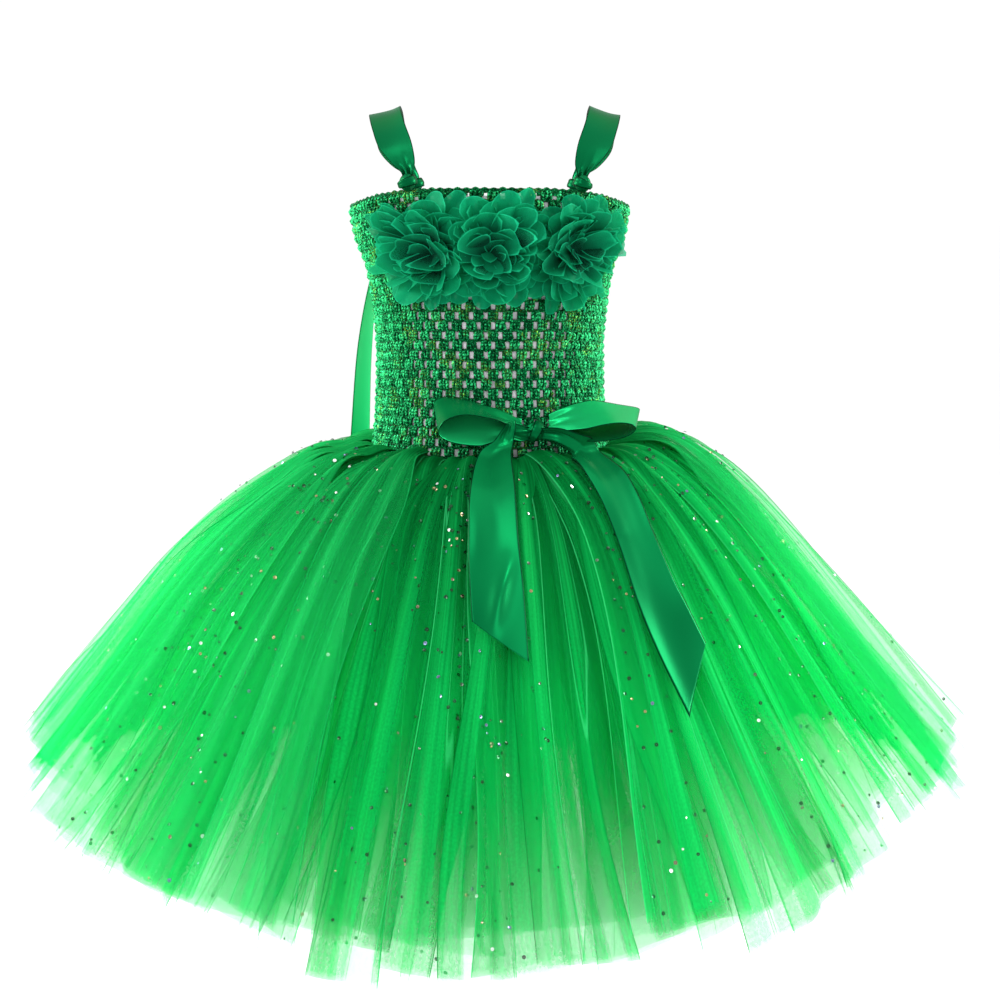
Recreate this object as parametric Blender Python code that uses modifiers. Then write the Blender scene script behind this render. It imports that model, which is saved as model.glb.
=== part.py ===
"""A child's fairy costume dress, filled out as it is worn: a crochet tube bodice with a lining, ribbon
shoulder straps, three chiffon flowers, a satin waist bow and a tutu skirt of knotted tulle strips.

Metres, +Z up, the front faces -Y and +X is on the right of someone who looks at the front.
The origin lies midway between the tops of the two shoulder straps, where the wearer's shoulders hold it.
Left and right are those of someone who looks at the front.
"""

import math
from collections import namedtuple

import bmesh
import bpy
from mathutils import Vector

SEAM_GAP = 0.0003
MERGE_DISTANCE = 0.00001
GOLDEN = 0.618034

# The bodice: height of the section, half its width and half its depth, from the foot up.
Section = namedtuple("Section", "z half_width half_depth")
BODICE_SECTIONS = (
    Section(-0.270, 0.0950, 0.0730),
    Section(-0.250, 0.0920, 0.0700),
    Section(-0.215, 0.0900, 0.0680),
    Section(-0.180, 0.0895, 0.0685),
    Section(-0.150, 0.0920, 0.0710),
    Section(-0.120, 0.0970, 0.0740),
    Section(-0.095, 0.1060, 0.0770),
    Section(-0.062, 0.1105, 0.0780),
)
BODICE_FOOT = BODICE_SECTIONS[0].z
BODICE_TOP = BODICE_SECTIONS[-1].z
UNDERARM_DIP = 0.013
CROCHET_THICKNESS = 0.003
LINING_THICKNESS = 0.001
LINING_INSET = 0.004
BODICE_COLUMNS = 36
BODICE_ROWS = 7

# The tulle skirt. Each layer is a bell whose side and front outlines are Bezier curves, given by
# their handles near the waist, at the bend and at the hem as (reach from the axis, height). The
# root is the layer's height at the waist and its distance out from the bodice, gather is half the
# depth of a pleat at the hem, and lap is how far a strip's edges stand over and under its
# neighbours.
Outline = namedtuple("Outline", "puff bend hem")
Layer = namedtuple("Layer", "name root_z root_out side front gather lap")
TOP_LAYER = Layer(
    name="top",
    root_z=-0.2600,
    root_out=SEAM_GAP,
    side=Outline(puff=(0.178, -0.222), bend=(0.236, -0.318), hem=(0.390, -0.497)),
    front=Outline(puff=(0.132, -0.236), bend=(0.208, -0.352), hem=(0.300, -0.564)),
    gather=0.0055,
    lap=0.0,
)
OUTER_LAYER = Layer(
    name="outer",
    root_z=-0.2680,
    root_out=SEAM_GAP,
    side=Outline(puff=(0.167, -0.238), bend=(0.222, -0.338), hem=(0.362, -0.512)),
    front=Outline(puff=(0.118, -0.258), bend=(0.192, -0.372), hem=(0.285, -0.600)),
    gather=0.0070,
    lap=0.0060,
)
INNER_LAYER = Layer(
    name="inner",
    root_z=BODICE_FOOT - 0.0040,
    root_out=-0.0045,
    side=Outline(puff=(0.148, -0.262), bend=(0.196, -0.358), hem=(0.326, -0.508)),
    front=Outline(puff=(0.104, -0.280), bend=(0.168, -0.392), hem=(0.247, -0.590)),
    gather=0.0070,
    lap=0.0060,
)
OUTER_STRIPS = 16
INNER_STRIPS = 10
OUTER_PITCH = 6
INNER_PITCH = 7
LAPPED_COLUMNS = 2
STRIP_ROWS = 5
STRIP_THICKNESS = 0.0012
# Depths at the waist as shares of those at the hem, how steeply the strips rise from the waist, and
# how late, going round from the side, the hem drops towards the front.
ROOT_SHARE = 0.16
LAP_ROOT_SHARE = 0.24
RISE_SINE = 0.24
FRONT_DROP_POWER = 2.6
SHORTEST_STRIP = 0.955
HEM_POINT = 0.014

# The glitter strips on top: the plan angle of the middle of each, in degrees, 0 on the right and
# -90 in front. None lies where the bow and its tails are.
TOP_STRIP_ANGLES = (-10, 15, 43, 74, 105, 136, 165, 190, 213, 237)
TOP_STRIP_SPREAD = 20
TOP_STRIP_COLUMNS = 6

# Ribbons.
RIBBON_THICKNESS = 0.0010
STRAP_RIBBON = 0.025
SASH_RIBBON = 0.038

# One half of a strap, from its knot to the top of the shoulder: distance from the shoulder line as a
# share of the knot's, shares of the rise and of the way out from the knot to the top, and width.
StrapStation = namedtuple("StrapStation", "depth rise outward width")
STRAP_STATIONS = (
    StrapStation(1.00, 0.00, 0.00, 0.0090),
    StrapStation(0.97, 0.16, 0.16, 0.0180),
    StrapStation(0.87, 0.42, 0.46, STRAP_RIBBON),
    StrapStation(0.66, 0.71, 0.74, STRAP_RIBBON),
    StrapStation(0.36, 0.93, 0.93, STRAP_RIBBON),
    StrapStation(0.00, 1.00, 1.00, STRAP_RIBBON),
)
SHOULDER_SLOPE = 0.29
STRAP_TOP = -0.0005
Strap = namedtuple("Strap", "name side knot_x top_x")
STRAPS = (
    Strap("left", -1, 0.062, 0.081),
    Strap("right", 1, 0.071, 0.089),
)
KNOT_HALF_HEIGHT = 0.0068
KNOT_HALF_WIDTH = 0.0060
KNOT_HALF_DEPTH = 0.0055
KNOT_RIDGE = 0.16
KNOT_FOLDS = 4
KNOT_TWIST = 2.5

# The ribbon ends that hang from the back knots: how far each point has swung outward from the knot, how
# far it lies below and behind it, how far the ribbon is turned from facing back, and its width.
TailStation = namedtuple("TailStation", "swing drop behind turn width")
BACK_TAILS = {
    "left": (
        TailStation(0.000, 0.0045, 0.0052, -30, 0.010),
        TailStation(0.012, 0.0300, 0.0060, -35, 0.020),
        TailStation(0.031, 0.0800, 0.0080, -45, STRAP_RIBBON),
        TailStation(0.042, 0.1350, 0.0120, -45, STRAP_RIBBON),
        TailStation(0.047, 0.1850, 0.0250, -45, STRAP_RIBBON),
    ),
    "right": (
        TailStation(0.000, 0.0045, 0.0052, -30, 0.010),
        TailStation(-0.004, 0.0300, 0.0075, -30, 0.020),
        TailStation(-0.010, 0.0800, 0.0110, -20, STRAP_RIBBON),
        TailStation(-0.015, 0.1350, 0.0140, -10, STRAP_RIBBON),
        TailStation(-0.018, 0.1850, 0.0290, -10, STRAP_RIBBON),
    ),
}
TAIL_COLUMNS = 2

# The waist bow, tied to the front of the bodice a little right of its middle.
BOW_X = 0.032
BOW_Z = -0.2420
BOW_KNOT_HALF_WIDTH = 0.0100
BOW_KNOT_HALF_DEPTH = 0.0075
BOW_KNOT_HALF_HEIGHT = 0.0100
LOOP_COLUMNS = 2
LOOP_ROWS = 16
LOOP_NECK = 0.012
LOOP_START = math.radians(24)
Loop = namedtuple("Loop", "name out across reach height behind")
BOW_LOOPS = (
    Loop("left", Vector((-0.96, -0.20, 0.22)), Vector((-0.10, -0.92, -0.30)), 0.068, 0.030, -0.12),
    Loop("right", Vector((0.97, -0.18, 0.12)), Vector((0.10, -0.60, 0.79)), 0.072, 0.026, 0.50),
)

# The bow's two tails lie on the outer layer of the skirt: plan angle in degrees, place along the
# layer's outline, and width.
LaidStation = namedtuple("LaidStation", "angle along width")
BOW_TAILS = {
    "left": (
        LaidStation(-85, 0.20, 0.026),
        LaidStation(-88, 0.34, 0.036),
        LaidStation(-90, 0.48, SASH_RIBBON),
        LaidStation(-89, 0.57, SASH_RIBBON),
        LaidStation(-88, 0.625, SASH_RIBBON),
    ),
    "right": (
        LaidStation(-68, 0.20, 0.026),
        LaidStation(-62, 0.34, 0.036),
        LaidStation(-59, 0.48, SASH_RIBBON),
        LaidStation(-58, 0.60, SASH_RIBBON),
        LaidStation(-57, 0.70, SASH_RIBBON),
    ),
}
BOW_TAIL_CUT = {"left": -0.016, "right": 0.022}
BOW_TAIL_ROWS = 9
LAID_CLEARANCE = 0.0016
# Where a tail leaves the underside of the knot, from its middle, for the tail on the right.
TAIL_START = Vector((0.0066, -0.0034, -0.0072))

# The flowers: place round the front and height of the middle, and how far the petals reach.
Flower = namedtuple("Flower", "name along z left right up down")
FLOWERS = (
    Flower("left", -0.037, -0.109, 0.056, 0.019, 0.039, 0.040),
    Flower("middle", 0.003, -0.106, 0.020, 0.021, 0.040, 0.045),
    Flower("right", 0.056, -0.107, 0.031, 0.048, 0.040, 0.045),
)
FRONT_RADIUS = 0.092
FLOWER_EYE = 0.0020
PETAL_THICKNESS = 0.0010
PETAL_SQUARENESS = 2.6
PETAL_NOTCH = 0.20
# A round of petals: number of petals, share of the flower's reach, height of its middle and of its
# rim off the bodice, and depth of its ripple.
Round = namedtuple("Round", "name petals share middle rim ripple")
ROUNDS = (
    Round("outer", 10, 1.00, 0.0009, 0.0095, 0.0020),
    Round("middle", 8, 0.80, 0.0024, 0.0170, 0.0022),
    Round("inner", 5, 0.50, 0.0039, 0.0220, 0.0016),
)
COLUMNS_PER_PETAL = 4
PETAL_ROWS = 2

# Finishes: base colour as linear red, green and blue, and roughness.
Finish = namedtuple("Finish", "name colour roughness")
CROCHET_GREEN = Finish("crochet_green", (0.010, 0.270, 0.065), 0.75)
LINING_PALE = Finish("lining_pale", (0.560, 0.540, 0.560), 0.85)
TULLE_GREEN = Finish("tulle_green", (0.010, 0.520, 0.080), 0.80)
SATIN_GREEN = Finish("satin_green", (0.003, 0.210, 0.060), 0.30)
CHIFFON_GREEN = Finish("chiffon_green", (0.004, 0.230, 0.085), 0.70)


def clear_scene():
    """Remove every object that is already in the scene."""
    for obj in list(bpy.data.objects):
        bpy.data.objects.remove(obj, do_unlink=True)


def make_material(finish):
    """A Principled material with the finish's colour and roughness."""
    material = bpy.data.materials.new(finish.name)
    material.use_nodes = True
    shader = material.node_tree.nodes["Principled BSDF"]
    shader.inputs["Base Color"].default_value = (*finish.colour, 1.0)
    shader.inputs["Roughness"].default_value = finish.roughness
    shader.inputs["Metallic"].default_value = 0.0
    return material


def scatter(number):
    """A value from 0 to 1 that looks random and is the same each time."""
    return math.modf((number + 1) * GOLDEN)[0]


def smooth_through(values, place):
    """A value at place, from 0 to 1, on a smooth curve through evenly spaced values."""
    spans = len(values) - 1
    span = min(int(place * spans), spans - 1)
    share = place * spans - span
    before, start, end, after = (
        values[min(max(span + step, 0), spans)] for step in (-1, 0, 1, 2)
    )
    return 0.5 * (
        2 * start
        + (end - before) * share
        + (2 * before - 5 * start + 4 * end - after) * share**2
        + (3 * start - before - 3 * end + after) * share**3
    )


def sheet_object(name, columns, rows, point_at, thickness, finish, collection, tube=False):
    """A cloth wall of even thickness whose middle surface is point_at(across, along), each from 0 to 1."""
    mesh = bpy.data.meshes.new(name)
    grid = bmesh.new()
    bmesh.ops.create_grid(grid, x_segments=columns, y_segments=rows, size=0.5)
    for vertex in grid.verts:
        vertex.co = point_at(vertex.co.x + 0.5, vertex.co.y + 0.5)
    if tube:
        bmesh.ops.remove_doubles(grid, verts=grid.verts, dist=MERGE_DISTANCE)
    bmesh.ops.recalc_face_normals(grid, faces=grid.faces)
    grid.to_mesh(mesh)
    grid.free()
    mesh.shade_smooth()
    mesh.materials.append(finish)
    obj = bpy.data.objects.new(name, mesh)
    collection.objects.link(obj)
    wall = obj.modifiers.new("wall", "SOLIDIFY")
    wall.thickness = thickness
    wall.offset = 0.0
    return obj


def bodice_half_sizes(z):
    """Half the width and half the depth of the bodice's outer face at a height."""
    low, high = BODICE_SECTIONS[0], BODICE_SECTIONS[-1]
    if z <= low.z:
        return low.half_width, low.half_depth
    if z >= high.z:
        return high.half_width, high.half_depth
    upper = next(i for i, row in enumerate(BODICE_SECTIONS) if row.z >= z)
    below, above = BODICE_SECTIONS[upper - 1], BODICE_SECTIONS[upper]
    share = (z - below.z) / (above.z - below.z)
    place = (upper - 1 + share) / (len(BODICE_SECTIONS) - 1)
    widths = [row.half_width for row in BODICE_SECTIONS]
    depths = [row.half_depth for row in BODICE_SECTIONS]
    return smooth_through(widths, place), smooth_through(depths, place)


def bodice_point(angle, z, out=0.0):
    """A point at a plan angle and height, out from the bodice's outer face."""
    half_width, half_depth = bodice_half_sizes(z)
    return Vector(((half_width + out) * math.cos(angle), (half_depth + out) * math.sin(angle), z))


def bodice_top_z(angle):
    """Height of the bodice's top edge, which dips under the arms."""
    return BODICE_TOP - UNDERARM_DIP * math.cos(angle) ** 4


def build_tube(name, depth_in, thickness, top_drop, finish, collection):
    """A tube along the bodice's shape, with its middle surface depth_in from the outer face."""

    def point_at(across, along):
        angle = 2 * math.pi * across
        z = BODICE_FOOT + along * (bodice_top_z(angle) - top_drop - BODICE_FOOT)
        return bodice_point(angle, z, -depth_in)

    return sheet_object(
        name, BODICE_COLUMNS, BODICE_ROWS, point_at, thickness, finish, collection, tube=True
    )


def bezier(start, first, second, end, place):
    """A number on a cubic Bezier curve."""
    rest = 1 - place
    return (
        rest**3 * start
        + 3 * rest**2 * place * first
        + 3 * rest * place**2 * second
        + place**3 * end
    )


def outline_point(outline, root, place):
    """(reach, height) at a place from 0 at the waist to 1 at the hem."""
    return tuple(
        bezier(root[i], outline.puff[i], outline.bend[i], outline.hem[i], place) for i in (0, 1)
    )


def bell_point(layer, angle, place):
    """A point on a layer's smooth bell, before it is gathered."""
    half_width, half_depth = bodice_half_sizes(layer.root_z)
    root_depth = layer.gather * ROOT_SHARE + layer.lap * LAP_ROOT_SHARE + STRIP_THICKNESS / 2
    out = layer.root_out + root_depth * RISE_SINE
    side_root = (half_width + out, layer.root_z)
    front_root = (half_depth + out, layer.root_z)
    side_reach, side_z = outline_point(layer.side, side_root, place)
    front_reach, front_z = outline_point(layer.front, front_root, place)
    cosine, sine = math.cos(angle), math.sin(angle)
    drop = (front_z - side_z) * abs(sine) ** FRONT_DROP_POWER
    return Vector((side_reach * cosine, front_reach * sine, side_z + drop))


def bell_normal(layer, angle, place):
    """The direction out of a layer's smooth bell."""
    step = 0.001
    round_it = bell_point(layer, angle + step, place) - bell_point(layer, angle - step, place)
    down = bell_point(layer, angle, place + step) - bell_point(layer, angle, place)
    return down.cross(round_it).normalized()


def gathered_point(layer, angle, place, column, lap):
    """A point on a gathered strip. Even columns are pleat tops, odd ones the hollows between."""
    top_or_hollow = 1 if column % 2 == 0 else -1
    depth = layer.gather * (ROOT_SHARE + (1 - ROOT_SHARE) * place)
    depth *= 0.65 + 0.35 * scatter(column)
    lapped = layer.lap * (LAP_ROOT_SHARE + (1 - LAP_ROOT_SHARE) * place) * lap
    out = top_or_hollow * depth + lapped
    return bell_point(layer, angle, place) + out * bell_normal(layer, angle, place)


def build_strip(name, layer, first_column, columns, angle_of, laps, finish, collection):
    """One tulle strip, tied at the waist and spread to the hem, over its right-hand neighbour."""
    length = SHORTEST_STRIP + (1 - SHORTEST_STRIP) * scatter(first_column)

    def point_at(across, along):
        column = first_column + round(across * columns)
        place = along * (length + HEM_POINT * scatter(3 * column))
        lap = (1 - 2 * across) if laps else 0.0
        return gathered_point(layer, angle_of(column), place, column, lap)

    return sheet_object(name, columns, STRIP_ROWS, point_at, STRIP_THICKNESS, finish, collection)


def build_ring_of_strips(layer, strips, pitch, finish, collection):
    """A full ring of strips, a pitch of columns apart, each lapped under the next like tiles."""
    total = strips * pitch

    def angle_of(column):
        return 2 * math.pi * column / total

    for number in range(strips):
        build_strip(
            f"tulle_{layer.name}_{number + 1:02d}",
            layer,
            number * pitch,
            pitch + LAPPED_COLUMNS,
            angle_of,
            True,
            finish,
            collection,
        )


def build_top_strips(finish, collection):
    """The sparse glitter strips that stand off the skirt."""
    for number, middle in enumerate(TOP_STRIP_ANGLES):
        first_column = number * TOP_STRIP_COLUMNS

        def angle_of(column, middle=middle, first_column=first_column):
            share = (column - first_column) / TOP_STRIP_COLUMNS - 0.5
            return math.radians(middle + TOP_STRIP_SPREAD * share)

        build_strip(
            f"tulle_top_{number + 1:02d}",
            TOP_LAYER,
            first_column,
            TOP_STRIP_COLUMNS,
            angle_of,
            False,
            finish,
            collection,
        )


def ribbon_object(name, middles, acrosses, widths, cut, rows, finish, collection):
    """A ribbon along smooth curves through its middles, with its width along acrosses.

    cut is how much longer the far end is on its right-hand side than in its middle.
    """

    def point_at(across, along):
        side = across - 0.5
        middle = Vector([smooth_through([p[i] for p in middles], along) for i in range(3)])
        width = smooth_through(widths, along)
        direction = Vector([smooth_through([a[i] for a in acrosses], along) for i in range(3)])
        down = Vector([middles[-1][i] - middles[-2][i] for i in range(3)]).normalized()
        return middle + side * width * direction.normalized() + 2 * side * cut * along**6 * down

    return sheet_object(name, TAIL_COLUMNS, rows, point_at, RIBBON_THICKNESS, finish, collection)


def build_knot(name, centre, half_sizes, finish, collection):
    """A tied knot: a rounded lump with folds that wind round it."""
    mesh = bpy.data.meshes.new(name)
    knot = bmesh.new()
    bmesh.ops.create_uvsphere(knot, u_segments=12, v_segments=7, radius=1.0)
    for vertex in knot.verts:
        turn = math.atan2(vertex.co.y, vertex.co.x)
        level = 1 - abs(vertex.co.z)
        fold = 0.5 - 0.5 * math.cos(KNOT_FOLDS * turn + KNOT_TWIST * vertex.co.z)
        swell = 1 - KNOT_RIDGE * level * fold
        vertex.co = Vector([swell * vertex.co[i] * half_sizes[i] for i in range(3)]) + centre
    knot.to_mesh(mesh)
    knot.free()
    mesh.shade_smooth()
    mesh.materials.append(finish)
    collection.objects.link(bpy.data.objects.new(name, mesh))


def strap_knot_centre(strap, to_back):
    """The middle of a strap's knot, seated on the bodice's top edge. to_back is -1 in front, 1 behind."""
    half_width = bodice_half_sizes(BODICE_TOP)[0]
    angle = to_back * math.acos(strap.side * strap.knot_x / half_width)
    seat = bodice_point(angle, bodice_top_z(angle), -CROCHET_THICKNESS / 2)
    return seat + Vector((0, 0, KNOT_HALF_HEIGHT + SEAM_GAP))


def build_strap(strap, finish, collection):
    """A ribbon over the shoulder, from its front knot to its back knot."""
    stations = STRAP_STATIONS + STRAP_STATIONS[-2::-1]
    middles, acrosses, widths = [], [], []
    for index, station in enumerate(stations):
        knot = strap_knot_centre(strap, 1 if index >= len(STRAP_STATIONS) else -1)
        start_z = knot.z + KNOT_HALF_HEIGHT + SEAM_GAP
        x = knot.x + (strap.side * strap.top_x - knot.x) * station.outward
        z = start_z + (STRAP_TOP - start_z) * station.rise
        middles.append((x, knot.y * station.depth, z))
        acrosses.append((1.0, 0.0, -strap.side * SHOULDER_SLOPE * station.outward))
        widths.append(station.width)
    rows = 2 * (len(stations) - 1)
    ribbon_object(
        f"strap_{strap.name}", middles, acrosses, widths, 0.0, rows, finish, collection
    )


def build_strap_knots(strap, finish, collection):
    """The front and back knots of a strap."""
    half_sizes = (KNOT_HALF_WIDTH, KNOT_HALF_DEPTH, KNOT_HALF_HEIGHT)
    for end, to_back in (("front", -1), ("back", 1)):
        centre = strap_knot_centre(strap, to_back)
        build_knot(f"strap_knot_{end}_{strap.name}", centre, half_sizes, finish, collection)


def build_back_tail(strap, finish, collection):
    """The free ribbon end that hangs from a back knot."""
    knot = strap_knot_centre(strap, 1)
    middles, acrosses, widths = [], [], []
    for station in BACK_TAILS[strap.name]:
        step = Vector((strap.side * station.swing, station.behind, -station.drop))
        turn = math.radians(station.turn)
        middles.append(knot + step)
        acrosses.append((math.cos(turn), strap.side * math.sin(turn), 0.0))
        widths.append(station.width)
    rows = 2 * (len(middles) - 1)
    ribbon_object(
        f"back_tail_{strap.name}", middles, acrosses, widths, 0.0, rows, finish, collection
    )


def bow_knot_centre():
    """The middle of the bow's knot, seated on the front of the bodice."""
    half_width, half_depth = bodice_half_sizes(BOW_Z)
    angle = -math.acos(BOW_X / half_width)
    return bodice_point(angle, BOW_Z, BOW_KNOT_HALF_DEPTH + SEAM_GAP)


def build_bow_loop(loop, finish, collection):
    """One loop of the bow: a ribbon that leaves the knot, turns at its far end and comes back."""
    out = loop.out.normalized()
    across = (loop.across - loop.across.dot(out) * out).normalized()
    third = out.cross(across)
    first_far = loop.reach * (1 - math.cos(LOOP_START)) / 2
    start = bow_knot_centre() + out * (BOW_KNOT_HALF_WIDTH + SEAM_GAP - first_far)

    def back_edge(width):
        return -LOOP_NECK / 2 - (width - LOOP_NECK) * loop.behind

    def point_at(side, along):
        turn = LOOP_START + along * (2 * math.pi - 2 * LOOP_START)
        far = loop.reach * (1 - math.cos(turn)) / 2
        open_by = loop.height / 2 * math.sin(turn) * math.sin(turn / 2)
        spread = min(1.0, far / loop.reach * 2)
        width = LOOP_NECK + (SASH_RIBBON - LOOP_NECK) * spread
        return start + far * out + open_by * third + back_edge(width) * across + side * width * across

    sheet_object(
        f"bow_loop_{loop.name}",
        LOOP_COLUMNS,
        LOOP_ROWS,
        point_at,
        RIBBON_THICKNESS,
        finish,
        collection,
    )


def laid_frame(angle, place):
    """A point just clear of the outer layer's gathers, and the direction out of the skirt."""
    lift = OUTER_LAYER.gather * (ROOT_SHARE + (1 - ROOT_SHARE) * place)
    lift += OUTER_LAYER.lap * (LAP_ROOT_SHARE + (1 - LAP_ROOT_SHARE) * place)
    lift += LAID_CLEARANCE + (STRIP_THICKNESS + RIBBON_THICKNESS) / 2
    normal = bell_normal(OUTER_LAYER, angle, place)
    return bell_point(OUTER_LAYER, angle, place) + lift * normal, normal


def build_bow_tail(side, finish, collection):
    """A tail that leaves the knot's underside and lies down the skirt to its slanted end."""
    sign = -1 if side == "left" else 1
    knot = bow_knot_centre()
    start = knot + Vector((sign * TAIL_START.x, TAIL_START.y, TAIL_START.z))
    middles, normals, widths = [start], [Vector((0, -1, 0.1))], [0.012]
    for station in BOW_TAILS[side]:
        middle, normal = laid_frame(math.radians(station.angle), station.along)
        middles.append(middle)
        normals.append(normal)
        widths.append(station.width)
    acrosses = []
    for index, normal in enumerate(normals):
        ahead = middles[min(index + 1, len(middles) - 1)]
        behind = middles[max(index - 1, 0)]
        acrosses.append((ahead - behind).cross(normal).normalized())
    ribbon_object(
        f"bow_tail_{side}",
        middles,
        acrosses,
        widths,
        BOW_TAIL_CUT[side],
        BOW_TAIL_ROWS,
        finish,
        collection,
    )


def petal_reach(flower, turn):
    """How far a flower reaches in a direction: short towards a neighbour, long on its free side."""
    side = flower.right if math.cos(turn) > 0 else flower.left
    height = flower.up if math.sin(turn) > 0 else flower.down
    across = abs(math.cos(turn) / side) ** PETAL_SQUARENESS
    upright = abs(math.sin(turn) / height) ** PETAL_SQUARENESS
    return (across + upright) ** (-1 / PETAL_SQUARENESS)


def build_petal_round(flower, ring, finish, collection):
    """One round of petals, cupped and rippled, over the bodice's front."""
    columns = ring.petals * COLUMNS_PER_PETAL

    def point_at(across, along):
        turn = 2 * math.pi * across
        lobe = abs(math.cos(ring.petals * turn / 2))
        rim = ring.share * petal_reach(flower, turn) * (1 - PETAL_NOTCH + PETAL_NOTCH * lobe)
        radius = FLOWER_EYE + along * (rim - FLOWER_EYE)
        out = ring.middle + (ring.rim - ring.middle) * along**1.4
        out += ring.ripple * math.cos(ring.petals * turn) * along**2
        angle = -math.pi / 2 + (flower.along + radius * math.cos(turn)) / FRONT_RADIUS
        return bodice_point(angle, flower.z + radius * math.sin(turn), out)

    sheet_object(
        f"flower_{flower.name}_{ring.name}",
        columns,
        PETAL_ROWS,
        point_at,
        PETAL_THICKNESS,
        finish,
        collection,
        tube=True,
    )


def main():
    """Build the whole dress."""
    clear_scene()
    dress = bpy.data.collections.new("fairy_costume_dress")
    bpy.context.scene.collection.children.link(dress)
    crochet = make_material(CROCHET_GREEN)
    pale = make_material(LINING_PALE)
    tulle = make_material(TULLE_GREEN)
    satin = make_material(SATIN_GREEN)
    chiffon = make_material(CHIFFON_GREEN)

    build_tube("bodice_crochet", CROCHET_THICKNESS / 2, CROCHET_THICKNESS, 0.0, crochet, dress)
    build_tube("bodice_lining", LINING_INSET, LINING_THICKNESS, 0.004, pale, dress)
    build_ring_of_strips(INNER_LAYER, INNER_STRIPS, INNER_PITCH, tulle, dress)
    build_ring_of_strips(OUTER_LAYER, OUTER_STRIPS, OUTER_PITCH, tulle, dress)
    build_top_strips(tulle, dress)
    for strap in STRAPS:
        build_strap(strap, satin, dress)
        build_strap_knots(strap, satin, dress)
        build_back_tail(strap, satin, dress)
    bow_half_sizes = (BOW_KNOT_HALF_WIDTH, BOW_KNOT_HALF_DEPTH, BOW_KNOT_HALF_HEIGHT)
    build_knot("bow_knot", bow_knot_centre(), bow_half_sizes, satin, dress)
    for loop in BOW_LOOPS:
        build_bow_loop(loop, satin, dress)
    for side in BOW_TAILS:
        build_bow_tail(side, satin, dress)
    for flower in FLOWERS:
        for ring in ROUNDS:
            build_petal_round(flower, ring, chiffon, dress)


main()
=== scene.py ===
"""The looks of a child's fairy costume dress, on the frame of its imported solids.

A crochet tube bodice over a pale lining, satin shoulder straps, three chiffon flowers, a satin waist
bow, and a tutu skirt of sheer tulle strips with sequins. Metres, +Z up, the front faces -Y, and left
and right are those of someone who looks at the front. The origin lies between the shoulder straps.
"""

import logging
import math
import random
from collections.abc import Callable, Sequence
from dataclasses import dataclass, field
from enum import Enum
from functools import cached_property

import bpy
import numpy as np
from mathutils import Matrix, Vector


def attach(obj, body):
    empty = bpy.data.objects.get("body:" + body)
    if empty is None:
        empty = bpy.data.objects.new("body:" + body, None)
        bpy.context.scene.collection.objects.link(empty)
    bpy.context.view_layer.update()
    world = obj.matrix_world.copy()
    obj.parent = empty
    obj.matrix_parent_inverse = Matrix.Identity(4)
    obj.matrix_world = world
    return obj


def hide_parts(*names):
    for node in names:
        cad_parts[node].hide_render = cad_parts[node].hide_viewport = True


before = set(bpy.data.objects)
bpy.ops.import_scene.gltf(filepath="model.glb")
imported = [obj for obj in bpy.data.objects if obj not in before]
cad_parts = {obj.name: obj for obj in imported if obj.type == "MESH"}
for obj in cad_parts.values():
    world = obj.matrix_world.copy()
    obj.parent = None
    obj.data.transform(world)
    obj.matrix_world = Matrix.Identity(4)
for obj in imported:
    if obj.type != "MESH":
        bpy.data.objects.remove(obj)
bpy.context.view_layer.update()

log = logging.getLogger("dress")

BODY = "root"
GOLDEN = 0.618034
SEED_PER_TONE = 7.0
SEAM_GAP = 0.0003
UP = Vector((0.0, 0.0, 1.0))

Colour = tuple[float, float, float]
Sample = tuple[Vector, tuple[float, float, float], tuple[float, float, float]]
Sampler = Callable[[float, float], Sample]
Socket = bpy.types.NodeSocket
Value = Socket | Colour | float


class Slot(Enum):
    """The record's material slots."""

    CROCHET = "crochet"
    LINING = "lining"
    TULLE = "tulle"
    SATIN = "satin"
    CHIFFON = "chiffon"


class Hold(Enum):
    """How a sheet of cloth is held."""

    GATHERED = "gathered"
    HUNG = "hung"
    FOLDED = "folded"
    STRETCHED = "stretched"


# Curves and numbers


def scatter(number: float) -> float:
    """A value from 0 to 1 that looks random and is the same each time for the same number."""
    return math.modf((number + 1) * GOLDEN)[0]


def ease(value: float, low: float, high: float) -> float:
    """The height of a soft step, which starts to rise from 0 at low and reaches 1 at high."""
    share = min(max((value - low) / (high - low), 0.0), 1.0)
    return share * share * (3 - 2 * share)


def smooth_through(values: Sequence[float | Vector], place: float) -> float | Vector:
    """A value on a smooth curve through evenly spaced values.

    Args:
        values: Numbers or vectors.
        place: From 0 at the first to 1 at the last.

    Returns:
        The number or vector at the place.
    """
    spans = len(values) - 1
    span = min(int(place * spans), spans - 1)
    share = place * spans - span
    before, start, end, after = (
        values[min(max(span + step, 0), spans)] for step in (-1, 0, 1, 2)
    )
    return (
        2 * start
        + (end - before) * share
        + (2 * before - 5 * start + 4 * end - after) * share**2
        + (3 * start - before - 3 * end + after) * share**3
    ) * 0.5


def bezier(start: float, first: float, second: float, end: float, place: float) -> float:
    """A number on a cubic Bezier curve from start to end, with two handles, at a place from 0 to 1."""
    rest = 1 - place
    return (
        rest**3 * start
        + 3 * rest**2 * place * first
        + 3 * rest * place**2 * second
        + place**3 * end
    )


def all_round(count: int) -> list[float]:
    """The angles of this many even steps round a circle."""
    return [2 * math.pi * step / count for step in range(count)]


@dataclass(frozen=True)
class Crease:
    """A soft ridge, or a trough where its depth is below 0, in a sheet of cloth.

    Across runs from -0.5 to 0.5 and along from 0 to 1. Slant is how far it moves across over the length.
    """

    across: float
    along: float
    width: float
    length: float
    depth: float
    slant: float = 0.0

    def height(self, across: float, along: float) -> float:
        """How far it lifts the cloth at a place, in metres."""
        step = (along - self.along) / self.length
        if abs(step) > 2.5:
            return 0.0
        aside = (across - self.across - self.slant * (along - self.along)) / self.width
        return self.depth * math.exp(-aside * aside - step * step)


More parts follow.
